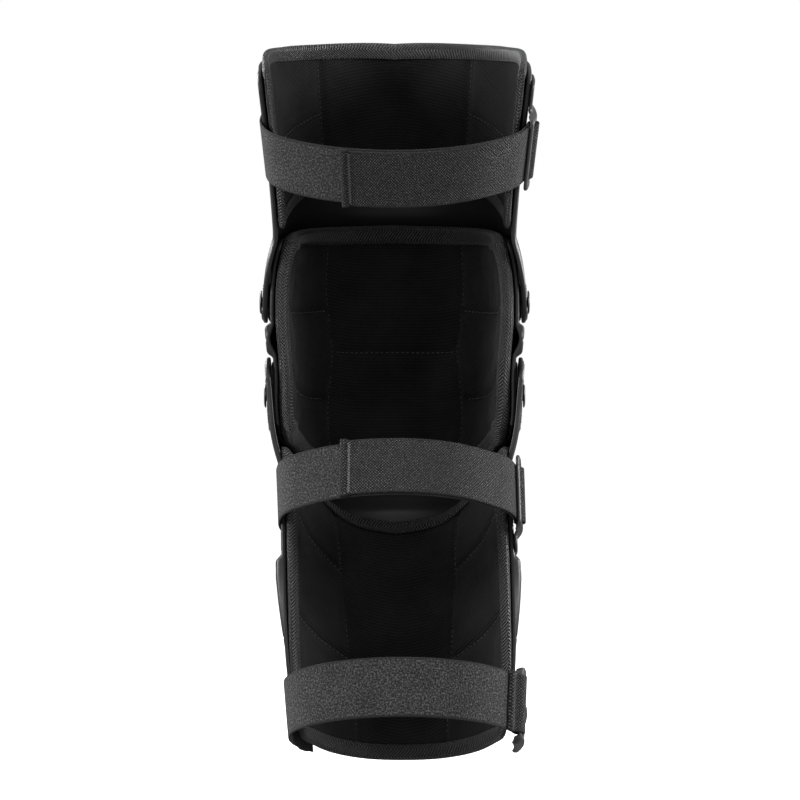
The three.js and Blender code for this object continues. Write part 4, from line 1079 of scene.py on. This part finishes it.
def bound_edge(name, section, body, size, reach=7.2, tape=0.85, count=500):
    """A tape folded over the rim: the pad's own faces within reach, lifted, joined by a half round."""
    t = (np.arange(count) + 0.5) / count * 4
    k, w = np.floor(t).astype(int) % 4, t % 1 * 2 - 1
    sa = np.choose(k, [w, 1 + 0 * w, -w, -1 + 0 * w])
    sb = np.choose(k, [-1 + 0 * w, w, 1 + 0 * w, -w])

    def ring(inset, share, lift=0.0):
        u, v = pad_share(sa, sb, size, inset)
        thick, place = section(u, v)
        shrink = 0.6 * np.exp(-inset / 2)
        return place(mix(0.25 + shrink - lift, thick - shrink + lift, share))

    insets = np.array([reach, reach - 0.5, 4.5, 2.2, 0.8, 0.0])
    rows = [ring(i, 0, tape if k else 0.0) for k, i in enumerate(insets)]
    top, low = ring(0, 0, tape), ring(0, 1, tape)
    outwards = ring(0, 0.5) - ring(2, 0.5)
    outwards = outwards / np.linalg.norm(outwards, axis=-1, keepdims=True)
    half = np.linalg.norm(top - low, axis=-1, keepdims=True) / 2
    for angle in np.linspace(0, np.pi, 9)[1:-1]:
        rows.append((top + low) / 2 + (top - low) / 2 * np.cos(angle)
                    + outwards * np.minimum(half, 3.2) * np.sin(angle))
    rows += [ring(i, 1, tape if k else 0.0) for k, i in enumerate(insets)][::-1]
    under = [ring(i, 1, -0.5) for i in (reach, 3.0, 0.5)] + [ring(i, 0, -0.5) for i in (0.5, 3.0, reach)]
    swept(name, np.stack(rows + under, 1), body, binding)


def swept(name, grid, body, material, closed=True):
    """A tube from rings of points. Its map runs along the path and round the section, in mm."""
    n, m = grid.shape[:2]
    number, quads = tube_faces(n, m, closed)
    strips, quads = quads.shape[0], quads.reshape(-1, 4)
    run = lambda axis: np.linalg.norm(np.roll(grid, -1, axis) - grid, axis=-1).mean(1 - axis)
    along, across = (np.concatenate([[0], np.cumsum(run(axis))]) for axis in (0, 1))
    if closed:
        along = along * np.round(along[-1] / RIB_PITCH) * RIB_PITCH / along[-1]
    i, j = np.meshgrid(np.arange(strips), np.arange(m), indexing="ij")
    corner = np.stack([np.stack([along[i + di], across[j + dj]], -1)
                       for di, dj in ((0, 0), (1, 0), (1, 1), (0, 1))], 2).reshape(-1, 4, 2)
    points = grid.reshape(-1, 3)
    ends = [] if closed else [number[0].tolist()[::-1], number[-1].tolist()]
    if six_volumes(points, quads) < 0:
        quads, corner, ends = quads[:, ::-1], corner[:, ::-1], [e[::-1] for e in ends]
    mesh = bpy.data.meshes.new(name)
    mesh.from_pydata((points / 1000).tolist(), [], quads.tolist() + ends)
    layer = mesh.uv_layers.new(name="millimetres")
    flat = np.zeros((len(layer.data), 2), np.float32)
    flat[:quads.size] = corner.reshape(-1, 2)
    layer.data.foreach_set("uv", flat.ravel())
    placed(name, mesh, body, [material])


KNEE_LINES = [[(.28, 0), (.22, .5), (.28, 1)], [(.28, .30), (.62, .24), (1, .30)],
              [(.25, .66), (.62, .60), (1, .66)],
              [(.62, .24), (.62, .60)], [(0, .5), (.22, .5)]]
THIGH_LINES = [[(.25, 0), (.25, 1)], [(.25, .5), (.62, .42), (1, .5)]]
SHIN_LINES = [[(.28, 0), (.24, 1)], [(.27, .28), (.64, .22), (1, .28)], [(.26, .62), (.64, .56), (1, .62)]]
# Section, sewn lines, height and puff in mm, fill, columns and rows of the mesh and of the cloth
PADS = {
    "knee": (knee_section, KNEE_LINES, 130, 1.6, 0.7, 180, 110, (120, 62)),
    "thigh": (limb_section(thigh, thigh_pad_patch), THIGH_LINES, 95, 1.2, 0.6, 180, 76, (120, 46)),
    "shin": (limb_section(shin, shin_pad_patch), SHIN_LINES, 175, 1.2, 0.6, 156, 130, (100, 80))}
for body, (section, lines, size, puff, fill, columns, rows, cloth_grid) in PADS.items():
    pad(f"{body}_padding", section, lines, body, f"{body}_pad", columns, rows, size, puff, fill, cloth_grid)
for body, (section, lines, size, *_) in PADS.items():
    bound_edge(f"{body}_pad_binding", section, body, size)


# %% [markdown]
# ## Straps
# A strap is a ribbon along a path round its limb: over the plate to its rear edge, then in one
# taut curve across the back, through the clip and back on itself. It is straight across its
# width, so its line gives a radius and a slope at every turn.

# %% The strap line
def strap_line(limb, level, turn):
    """Radius of the inner layer's middle and its slope along the limb, at each turn."""
    turn = np.asarray(turn, float)
    share = level / limb.length
    rear_edge = 98 if limb is thigh else mix(98, 84, smooth(share, 0.5, 0.95))
    on_plate, on_leg = WALL + STRAP_GAP + STRAP_THICK / 2, SEAT_GAP + STRAP_THICK / 2
    back = np.where(turn / RAD > 180, 360 - turn / RAD, turn / RAD)

    def radius_at(across):
        along = level + across + 0 * turn
        over_plate = plate_inner(limb, turn, along) + on_plate
        half = plate_inner(limb, np.full_like(turn, np.pi / 2), along) + on_plate
        rear = limb_radius(limb, np.full_like(turn, np.pi), along, 0, on_leg)
        taut = 1 / np.hypot(np.sin(turn) / half, np.cos(turn) / rear)
        eased = mix(np.maximum(taut, over_plate), taut, smooth(back, rear_edge + 4, rear_edge + 30))
        return np.where(back <= 90, over_plate, eased)

    edge = STRAP_WIDTH / 2
    slope = (radius_at(edge) - radius_at(-edge)) / STRAP_WIDTH
    middle = np.max([radius_at(s * edge) - slope * s * edge for s in (-1, -.7, -.35, 0, .35, .7, 1)], 0)
    return middle, slope


OUTER_LAYER = STRAP_THICK + LAYER_GAP
BAR_INSIDE = OUTER_LAYER + STRAP_THICK / 2 + LAYER_GAP
BAR_OUTSIDE = BAR_INSIDE + CLIP_THICK
FOLD_LAYER = BAR_OUTSIDE + LAYER_GAP + STRAP_THICK / 2


def clip_spots(limb, level):
    """Turns, in degrees, of the clip's bars and slots, from the rear bar forwards."""
    step = 1 / RAD / float(strap_line(limb, level, 270 * RAD)[0])
    slot = REAR_BAR_TURN + BAR_WIDTH * step
    middle_bar = slot + SLOT_WIDTH * step
    front_slot = middle_bar + BAR_WIDTH * step
    body = front_slot + SLOT_WIDTH * step
    return SimpleNamespace(step=step, rear_bar=REAR_BAR_TURN, slot=slot, middle_bar=middle_bar,
                           front_slot=front_slot, body=body, front=270 + CLIP_FRONT * step)


# %% Paths of the straps
def round_turns(start, stop):
    """Points of the inner layer, closer together over the plate than behind it."""
    turns = [start]
    while turns[-1] + (7 if turns[-1] < 108 else 10) < stop:
        turns.append(turns[-1] + (7 if turns[-1] < 108 else 10))
    return [(t, 0) for t in turns]


def threaded_path(limb, level, start, end):
    """Both layers pass inside the rear bar, and the fold goes round the middle bar."""
    at = clip_spots(limb, level)
    clear = (LAYER_GAP + STRAP_THICK / 2) * at.step
    back = [at.slot - 1.5]
    while back[-1] - (5 if back[-1] > 250 else 10) > end + 2:
        back.append(back[-1] - (5 if back[-1] > 250 else 10))
    return [
        *round_turns(start, at.middle_bar - 1), (at.front_slot - 0.6, 0),
        (at.front_slot + clear * 0.8, 0.5 * BAR_INSIDE - 0.4),
        (at.front_slot + clear * 1.15, (BAR_INSIDE + BAR_OUTSIDE) / 2),
        (at.front_slot + clear * 0.7, FOLD_LAYER - 0.7), (at.front_slot - 0.7, FOLD_LAYER),
        (at.middle_bar + 0.4, FOLD_LAYER), (at.middle_bar - clear * 0.9, FOLD_LAYER - 0.9),
        (at.middle_bar - clear * 1.35, (BAR_INSIDE + BAR_OUTSIDE) / 2 + 0.2),
        (at.slot + clear * 1.2, OUTER_LAYER + 0.5), *[(t, OUTER_LAYER) for t in back], (end, OUTER_LAYER)]


def folded_path(limb, level, start, end):
    """The lowest strap folds round the rear bar itself and ends in a short tab."""
    at = clip_spots(limb, level)
    clear = (LAYER_GAP + STRAP_THICK / 2) * at.step
    return [
        *round_turns(start, at.rear_bar - 2), (at.slot - 1, 0),
        (at.slot + clear * 0.6, 0.5 * BAR_INSIDE - 0.6),
        (at.slot + clear * 1.15, (BAR_INSIDE + BAR_OUTSIDE) / 2),
        (at.slot + clear * 0.7, FOLD_LAYER - 0.7), (at.slot - 0.6, FOLD_LAYER),
        (at.rear_bar + 0.4, FOLD_LAYER), (at.rear_bar - clear * 1.1, FOLD_LAYER - 0.7),
        (at.rear_bar - clear * 3.2, OUTER_LAYER + 0.8), (at.rear_bar - clear * 5, OUTER_LAYER),
        (end, OUTER_LAYER)]


def eased_path(points, pitch=1.5):
    """A smooth curve through points, even in length. Tangents weigh the near neighbour more."""
    p = np.asarray(points, float)
    d = np.sqrt(np.linalg.norm(np.diff(p, axis=0), axis=1))
    slope = np.diff(p, axis=0) / d[:, None]
    inner = (slope[:-1] * d[1:, None] + slope[1:] * d[:-1, None]) / (d[1:] + d[:-1])[:, None]
    tangent = np.concatenate([slope[:1], inner, slope[-1:]])
    t = np.linspace(0, 1, 24, endpoint=False)[None, :, None]
    h = d[:, None, None]
    fine = hermite(p[:-1, None], p[1:, None], h * tangent[:-1, None], h * tangent[1:, None], t)
    fine = np.concatenate([fine.reshape(-1, p.shape[1]), p[-1:]])
    run = np.concatenate([[0], np.cumsum(np.linalg.norm(np.diff(fine, axis=0), axis=1))])
    even = np.linspace(0, run[-1], int(run[-1] / pitch) + 1)
    return np.stack([np.interp(even, run, fine[:, k]) for k in range(p.shape[1])], -1), even


# %% [markdown]
# The path is first worked out flat: millimetres round the limb against the height of the layer.
# Then the ribbon's two faces are set off from it, square to the path, with rounded selvedges.

# %% Straps
# Length of the sewn hem, and how far the free end hangs below the strap, in mm
HEM, DROP = 6.0, 1.3


def strap(name, limb, level, path, node_name, threaded):
    """Two faces set off from the path. The last millimetres are a hem that is folded and sewn."""
    at = clip_spots(limb, level)
    flat, run = eased_path([(turn / at.step, lift) for turn, lift in path])
    turn, lift = flat[:, 0] * at.step * RAD, flat[:, 1]
    middle, slope = strap_line(limb, level, turn)
    x, y = (middle + lift) * np.sin(turn), -(middle + lift) * np.cos(turn)
    way = np.stack([np.gradient(x), np.gradient(y)], -1)
    way = way / np.linalg.norm(way, axis=1, keepdims=True)
    normal = np.stack([-way[:, 1], way[:, 0]], -1)
    edge = STRAP_WIDTH / 2
    across = np.concatenate([np.array([0, .08, .3, .7]) - edge, np.linspace(-edge + 1.4, edge - 1.4, 19),
                             edge - np.array([.7, .3, .08, 0])])
    thick = STRAP_THICK / 2 - np.minimum(round_over(edge - np.abs(across), 0.7), STRAP_THICK / 2 - 0.12)
    to_end = run[-1] - run
    taper = 1 - 0.8 * np.exp(-(np.minimum(run, to_end) / 0.5) ** 2)
    hem = np.sqrt(np.maximum(1 - (to_end / HEM * 2 - 1) ** 2, 0)) * (to_end < HEM)
    creases = 0.22 * ridge(to_end - HEM - 0.4, 0.6) + 0.12 * ridge(to_end - HEM - 3.2, 0.7)
    bead = (1.9 * hem ** 0.6 - creases)[:, None]
    wide = 1 + 0.055 * (1 - smooth(to_end, HEM - 1, HEM + 1.5))[:, None]
    drop = DROP * (1 - smooth(to_end, 60, 125))[:, None] * threaded
    place_across = across[None, :] * wide - drop

    def face(side):
        depth = side * thick[None, :] * taper[:, None] + (side > 0) * bead * smooth(thick[None, :], 0.1, 0.5)
        sx, sy = x[:, None] + normal[:, :1] * depth, y[:, None] + normal[:, 1:] * depth
        scale = 1 + slope[:, None] * place_across / middle[:, None]
        along = level + place_across
        return to_knee(limb, limb_shift(limb, along) + sx * scale, sy * scale, along)

    soft_wall(name, face(1), face(-1), run[:, None], across[None], limb.body,
              [brushed, woven], node_name)


STRAPS = {
    "thigh": (thigh, THIGH_STRAP_AT, THIGH_LUG, threaded_path, 153),
    "upper_calf": (shin, UPPER_CALF_STRAP_AT, CALF_LUG, threaded_path, 150),
    "lower_calf": (shin, LOWER_CALF_STRAP_AT, 0, folded_path, 246)}
for place_name, (limb, level, lug, path_of, end) in STRAPS.items():
    strap(f"{place_name}_webbing", limb, level, path_of(limb, level, STRAP_START, end),
          f"{place_name}_strap", path_of is threaded_path)


# %% [markdown]
# ## Clips
# A clip is a curved flat moulding with two slots for the strap and a keyhole for its
# post. Its outline is a distance: the body joined to its lug, less the slots and the hole.

# %% Clips
# Radius where the lug joins the clip's body, in mm
FILLET = 5


def strap_place(limb, level, turn, across, lift):
    middle, slope = strap_line(limb, level, turn)
    return limb_point(limb, turn, level + across, middle + slope * across + lift)


def clip(name, limb, level, lug, node_name):
    at = clip_spots(limb, level)
    width = (at.front - at.rear_bar) / at.step
    high = CLIP_HEIGHT / 2
    post = (at.body + at.front) / 2 + 0.5 - at.rear_bar
    bars = [(s - at.rear_bar) / at.step for s in (at.slot, at.middle_bar, at.front_slot, at.body)]

    def outline(s, t):
        body = rounded_box(s - width / 2, t, width / 2, high, 5)
        if lug:
            back = bars[1]
            tongue = rounded_box(s - (back + width - 1) / 2, t - high + 4 - lug / 2,
                                 (width - 1 - back) / 2, (lug + 8) / 2, 6)
            h = np.clip(0.5 + 0.5 * (tongue - body) / FILLET, 0, 1)
            body = mix(tongue, body, h) - FILLET * h * (1 - h)
        for left, right in ((bars[0], bars[1]), (bars[2], bars[3])):
            body = np.maximum(body, -rounded_box(
                s - (left + right) / 2, t, (right - left) / 2, STRAP_WIDTH / 2 + 1.4, 1.6))
        return np.maximum(body, POST_RADIUS + HOLE_PLAY - np.hypot(s - post / at.step, t))

    pitch = 0.62
    s, t = np.meshgrid(np.arange(-1.5, width + 1.5, pitch),
                       np.arange(-high - 1.5, high + lug + 1.5, pitch), indexing="ij")
    s, t, keep = cut_out(outline, s, t)
    depth = np.maximum(-outline(s, t), 0)
    turn = (at.rear_bar + s * at.step) * RAD
    across = np.abs(t)
    grip = 0.4 * sum(ridge(s - bars[3] - 3 - 2.6 * k, 0.7) for k in range(3))
    grip = grip * smooth(across, 9.5, 11) * (1 - smooth(across, 17, 19))
    bend = 3.9 * smooth(t, high - 4, high + 2)
    block = 3.0 * (lug == 0) * smooth(across, STRAP_WIDTH / 2 + 1.2, STRAP_WIDTH / 2 + 2)
    block = block * (1 - smooth(s, width - 7, width - 2)) * smooth(depth, -0.4, 0.9)
    outer = strap_place(limb, level, turn, t, BAR_OUTSIDE - round_over(depth, 1.0) + grip - bend)
    inner = strap_place(limb, level, turn, t, BAR_INSIDE + round_over(depth, 0.7) - bend - block)
    hard_wall(name, outer, inner, keep, ridge(depth, 1.0), 0.5, limb.body,
              clip_plastic, node_name)


for place_name, (limb, level, lug, *_) in STRAPS.items():
    clip(f"{place_name}_buckle", limb, level, lug, f"{place_name}_clip")


# %% [markdown]
# ## Turned parts
# Rivets, posts and pins are profiles spun about their own axis. Small radii at every corner of
# the profile catch the light as the pressed heads of real rivets do.

# %% Turned parts
AXIS_HOLE = 0.3


def frame_at(limb, turn, along, radius, slope):
    """Place and three axes of a fitting on a limb: round it, along it and outwards, leaned back."""
    lean = np.arctan(slope)
    outwards = np.array([np.sin(turn), -np.cos(turn), 0])
    round_it = np.array([np.cos(turn), np.sin(turn), 0])
    up = np.array([0, 0, 1.0])
    along_axis = up * np.cos(lean) + outwards * np.sin(lean)
    out_axis = outwards * np.cos(lean) - up * np.sin(lean)
    shift = float(limb_shift(limb, along))
    origin = np.array([shift + radius * np.sin(turn), -radius * np.cos(turn), along])
    return lambda p: to_knee(limb, *(np.moveaxis(
        origin + p[..., :1] * round_it + p[..., 1:2] * along_axis + p[..., 2:] * out_axis, -1, 0)))


def turned(name, profile, place, body, replaces=(), sides=48):
    """Spins [(radius, height)] round its axis. The profile's two ends are closed with a disc."""
    r, h = np.array(profile, float).T
    angle = np.arange(sides)[:, None] / sides * 2 * np.pi
    points = place(np.stack([np.cos(angle) * r, np.sin(angle) * r, h + 0 * angle], -1).reshape(-1, 3))
    number, quads = tube_faces(sides, len(r), True)
    quads = quads[:, :-1].reshape(-1, 4)
    caps = np.stack([number[::-1, 0], number[:, -1]])
    faces = quads.tolist() + caps.tolist()
    if six_volumes(points, quads) + six_volumes(points, caps) < 0:
        faces = [f[::-1] for f in faces]
    mesh = bpy.data.meshes.new(name)
    mesh.from_pydata((points / 1000).tolist(), [], faces)
    placed(name, mesh, body, [steel], replaces)


def rivet(name, half, side, z, node_name):
    """A pan head with a dished face outside, a shank, and a flat tail in the pad's pocket."""
    inside, outside = half - WALL - SEAT_GAP, half + RUN_GAP + WALL + SEAT_GAP + 0.9
    top = outside + HEAD_RISE
    low, R, tail = inside - TAIL_RISE, HEAD_RADIUS, TAIL_RADIUS
    profile = [
        (AXIS_HOLE, low), (tail - 0.4, low), (tail - 0.1, low + 0.1), (tail, low + 0.4), (tail, inside - 0.4),
        (tail - 0.2, inside - 0.2), (SHANK_RADIUS, inside - 0.2), (SHANK_RADIUS, outside), (R - 0.3, outside),
        (R, outside + 0.25), (R - 0.05, outside + 0.55), (R * 0.9, top - 0.25), (R * 0.78, top - 0.02),
        (R * 0.66, top), (R * 0.56, top - 0.12), (R * 0.5, top - 0.5), (R * 0.44, top - 0.6),
        (R * 0.2, top - 0.55), (AXIS_HOLE, top - 0.5)]
    turned(name, profile, lambda p: np.stack([side * p[:, 2], p[:, 0], z + p[:, 1]], -1), "knee", [node_name])


for level_name, z, half in (("upper", HINGE_RISE, CUP_UPPER_HALF), ("lower", -HINGE_RISE, CUP_LOWER_HALF)):
    for side_name, side in (("inner", 1), ("outer", -1)):
        rivet(f"{level_name}_rivet_{side_name}", half, side, z, f"{level_name}_hinge_rivet_{side_name}")


def post(name, limb, level, node_name):
    """A foot on the plate, a neck through the clip and a domed head outside it."""
    at = clip_spots(limb, level)
    turn = ((at.body + at.front) / 2 + 0.5) * RAD
    middle, slope = strap_line(limb, level, turn)
    place = frame_at(limb, turn, level, float(middle) - STRAP_THICK / 2 - STRAP_GAP, float(slope))
    inner = STRAP_GAP + STRAP_THICK / 2
    under, over = inner + BAR_INSIDE - 2 * SEAT_GAP, inner + BAR_OUTSIDE + 2 * SEAT_GAP
    top, R = over + POST_HEAD_RISE, POST_HEAD_RADIUS
    profile = [
        (AXIS_HOLE, STRAP_GAP), (R - 0.3, STRAP_GAP), (R, STRAP_GAP + 0.3), (R * 0.93, under - 0.4),
        (R * 0.86, under - 0.05), (R * 0.8, under), (POST_RADIUS, under), (POST_RADIUS, over), (R - 0.2, over),
        (R, over + 0.2), (R - 0.02, over + 0.6), (R * 0.9, top - 0.35), (R * 0.72, top - 0.05), (R * 0.5, top),
        (R * 0.36, top - 0.1), (R * 0.3, top - 0.5), (AXIS_HOLE, top - 0.6)]
    turned(name, profile, place, limb.body, [node_name])


def anchor(name, limb, level, node_name):
    """A bar with round ends over the strap's fixed end, held by two rivets."""
    turn0 = ANCHOR_TURN * RAD
    radius0, slope0 = (float(a) for a in strap_line(limb, level, turn0))
    inside, top = STRAP_THICK / 2 + LAYER_GAP, STRAP_THICK / 2 + LAYER_GAP + ANCHOR_THICK
    pins = [e * STRAP_WIDTH * 0.3 for e in (-1, 1)]
    s, t = np.meshgrid(np.arange(-ANCHOR_WIDTH / 2 - 1, ANCHOR_WIDTH / 2 + 1, 0.5),
                       np.arange(-STRAP_WIDTH / 2 - 1, STRAP_WIDTH / 2 + 1, 0.5), indexing="ij")
    outline = lambda s, t: rounded_box(s, t, ANCHOR_WIDTH / 2, STRAP_WIDTH / 2, 3.5)
    s, t, keep = cut_out(outline, s, t)
    depth = np.maximum(-outline(s, t), 0)
    pin = np.minimum(np.hypot(s, t - pins[0]), np.hypot(s, t - pins[1]))
    lift = -round_over(depth, INNER_ROUND) - 0.5 * smooth(pin, 4.4, 3.6) * (pin < 4.4)
    lift = lift - 0.35 * ridge(s, 0.8) * (1 - smooth(np.abs(t), 5, 6))
    turn = turn0 + s / radius0
    outer = strap_place(limb, level, turn, t, top + lift)
    inner = strap_place(limb, level, turn, t, inside + 0 * s)
    hard_wall(name, outer, inner, keep, ridge(depth, 1.0), 0.5, limb.body,
              clip_plastic, node_name)
    for label, at in zip(("low", "high"), pins):
        place = frame_at(limb, turn0, level + at, radius0 + slope0 * at, slope0)
        foot = -STRAP_THICK / 2 - STRAP_GAP - WALL + 0.2
        profile = [(AXIS_HOLE, foot), (PIN_RADIUS, foot), (PIN_RADIUS, top - 0.4), (3.3, top - 0.4),
                   (3.4, top - 0.1), (3.1, top + 0.25), (2.3, top + 0.45), (1.4, top + 0.5), (AXIS_HOLE, top + 0.5)]
        turned(f"{name}_pin_{label}", profile, place, limb.body, sides=28)


for place_name, (limb, level, *_) in STRAPS.items():
    post(f"{place_name}_post", limb, level, f"{place_name}_clip_post")
    anchor(f"{place_name}_anchor", limb, level, f"{place_name}_strap_anchor")


# %% [markdown]
# ## Stitching
# Thread is a real tube: a zigzag over the hem of each strap that comes back through its clip,
# and short stitches that lie in the sewn channels of the linings.

# %% Thread helpers
def tube_rings(path, radius, outwards, sides=6, flat=0.6):
    """Rings of an oval tube along a path: flat x radius towards the cloth, radius beside it."""
    way = np.gradient(path, axis=0)
    way = way / np.linalg.norm(way, axis=1, keepdims=True)
    beside = np.cross(outwards, way)
    beside = beside / np.linalg.norm(beside, axis=1, keepdims=True)
    up = np.cross(way, beside)
    angle = np.arange(sides) / sides * 2 * np.pi
    c, s = np.cos(angle)[None, :, None], np.sin(angle)[None, :, None]
    return path[:, None] + radius * (beside[:, None] * c + flat * up[:, None] * s)


def zigzag(name, limb, level, turn, lift, width=1.9, count=39):
    """Thread from side to side across a strap's end: a triangle wave along its width."""
    edge = STRAP_WIDTH / 2 - 1.6
    k = np.linspace(0, count, count * 6 + 1)
    across = mix(-edge, edge, k / count)
    swing = (np.abs(k % 2 - 1) - 0.5) * width
    radius = float(strap_line(limb, level, turn)[0])
    turns = turn + swing / radius
    path = strap_place(limb, level, turns, across - DROP, lift + 0.1)
    outwards = (strap_place(limb, level, turns, across, lift + 1)
                - strap_place(limb, level, turns, across, lift))
    swept(name, tube_rings(path, 0.3, outwards), limb.body, hem_thread, closed=False)


zigzag("thigh_zigzag", thigh, THIGH_STRAP_AT, 157.6 * RAD, OUTER_LAYER + STRAP_THICK / 2)
zigzag("upper_calf_zigzag", shin, UPPER_CALF_STRAP_AT, 155.4 * RAD, OUTER_LAYER + STRAP_THICK / 2)


def stitches(name, path, outwards, body, pitch=3.6, long=2.5, radius=0.3):
    """Separate short stitches along a path: each is a closed capsule of five rings."""
    run = np.concatenate([[0], np.cumsum(np.linalg.norm(np.diff(path, axis=0), axis=1))])
    starts = np.arange(0.5, run[-1] - long, pitch)
    t = np.array([0, 0.12, 0.5, 0.88, 1.0])
    fat = np.array([0.25, 0.8, 1, 0.8, 0.25])
    bow = np.array([-0.35, 0.05, 0.25, 0.05, -0.35])
    s = starts[:, None] + t * long
    at = lambda a: np.stack([np.interp(s, run, a[:, k]) for k in range(3)], -1)
    p, n = at(path), at(outwards)
    n = n / np.linalg.norm(n, axis=-1, keepdims=True)
    way = p[:, -1:] - p[:, :1]
    way = way / np.linalg.norm(way, axis=-1, keepdims=True)
    beside = np.cross(n, way)
    angle = np.arange(6) / 6 * 2 * np.pi
    centre = p + n * bow[None, :, None]
    ring = centre[:, :, None] + radius * fat[None, :, None, None] * (
        beside[:, :, None] * np.cos(angle)[:, None] + 0.75 * n[:, :, None] * np.sin(angle)[:, None])
    number = np.arange(ring.size // 3).reshape(ring.shape[:3])
    around = np.roll(number, -1, 2)
    quads = np.stack([number[:, :-1], around[:, :-1], around[:, 1:], number[:, 1:]], -1).reshape(-1, 4)
    caps = np.concatenate([number[:, 0, ::-1], number[:, -1]])
    cap_quads = np.concatenate([caps[:, [0, 1, 2, 3]], caps[:, [0, 3, 4, 5]]])
    mesh = new_mesh(name, ring, np.concatenate([quads, cap_quads]))
    placed(name, mesh, body, [thread_finish])


def lining_line(section, line, size, side, puff):
    """Points along a sewn line on the lining, with the direction inwards."""
    points = np.array(line, float)
    run = np.concatenate([[0], np.cumsum(np.linalg.norm(np.diff(points * [1.6, 1], axis=0), axis=1))])
    s = np.linspace(0, run[-1], 160)
    u, v = side * np.interp(s, run, points[:, 0]), np.interp(s, run, points[:, 1])
    inside = np.minimum(1 - np.abs(u), np.minimum(2 * v, 2 - 2 * v)) * size / 2
    u, v = u[inside > 7], v[inside > 7]
    thick, place = section(u, v)
    depth = thick - 0.8 * puff - np.minimum(2.0, thick * 0.35) * smooth(inside[inside > 7], 3, 8)
    return place(depth + 0.1), place(depth + 1) - place(depth)


for body, (section, lines, size, puff, *_) in PADS.items():
    for number, line in enumerate(lines):
        for side_name, side in (("inner", 1), ("outer", -1)):
            path, outwards = lining_line(section, line, size, side, puff)
            stitches(f"{body}_lining_seam_{number}_{side_name}", path, outwards, body)

# %% [markdown]
# ## Sizes and the end of the script
# The finished pieces have to stay within the solids' box, so how far they grow past it is printed.

# %% Sizes
made_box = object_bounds()
grown = [round((made_box[k][i] - cad_box[k][i]) * 1000, 1) for k in (0, 1) for i in range(3)]
print("grown by", grown, "mm")
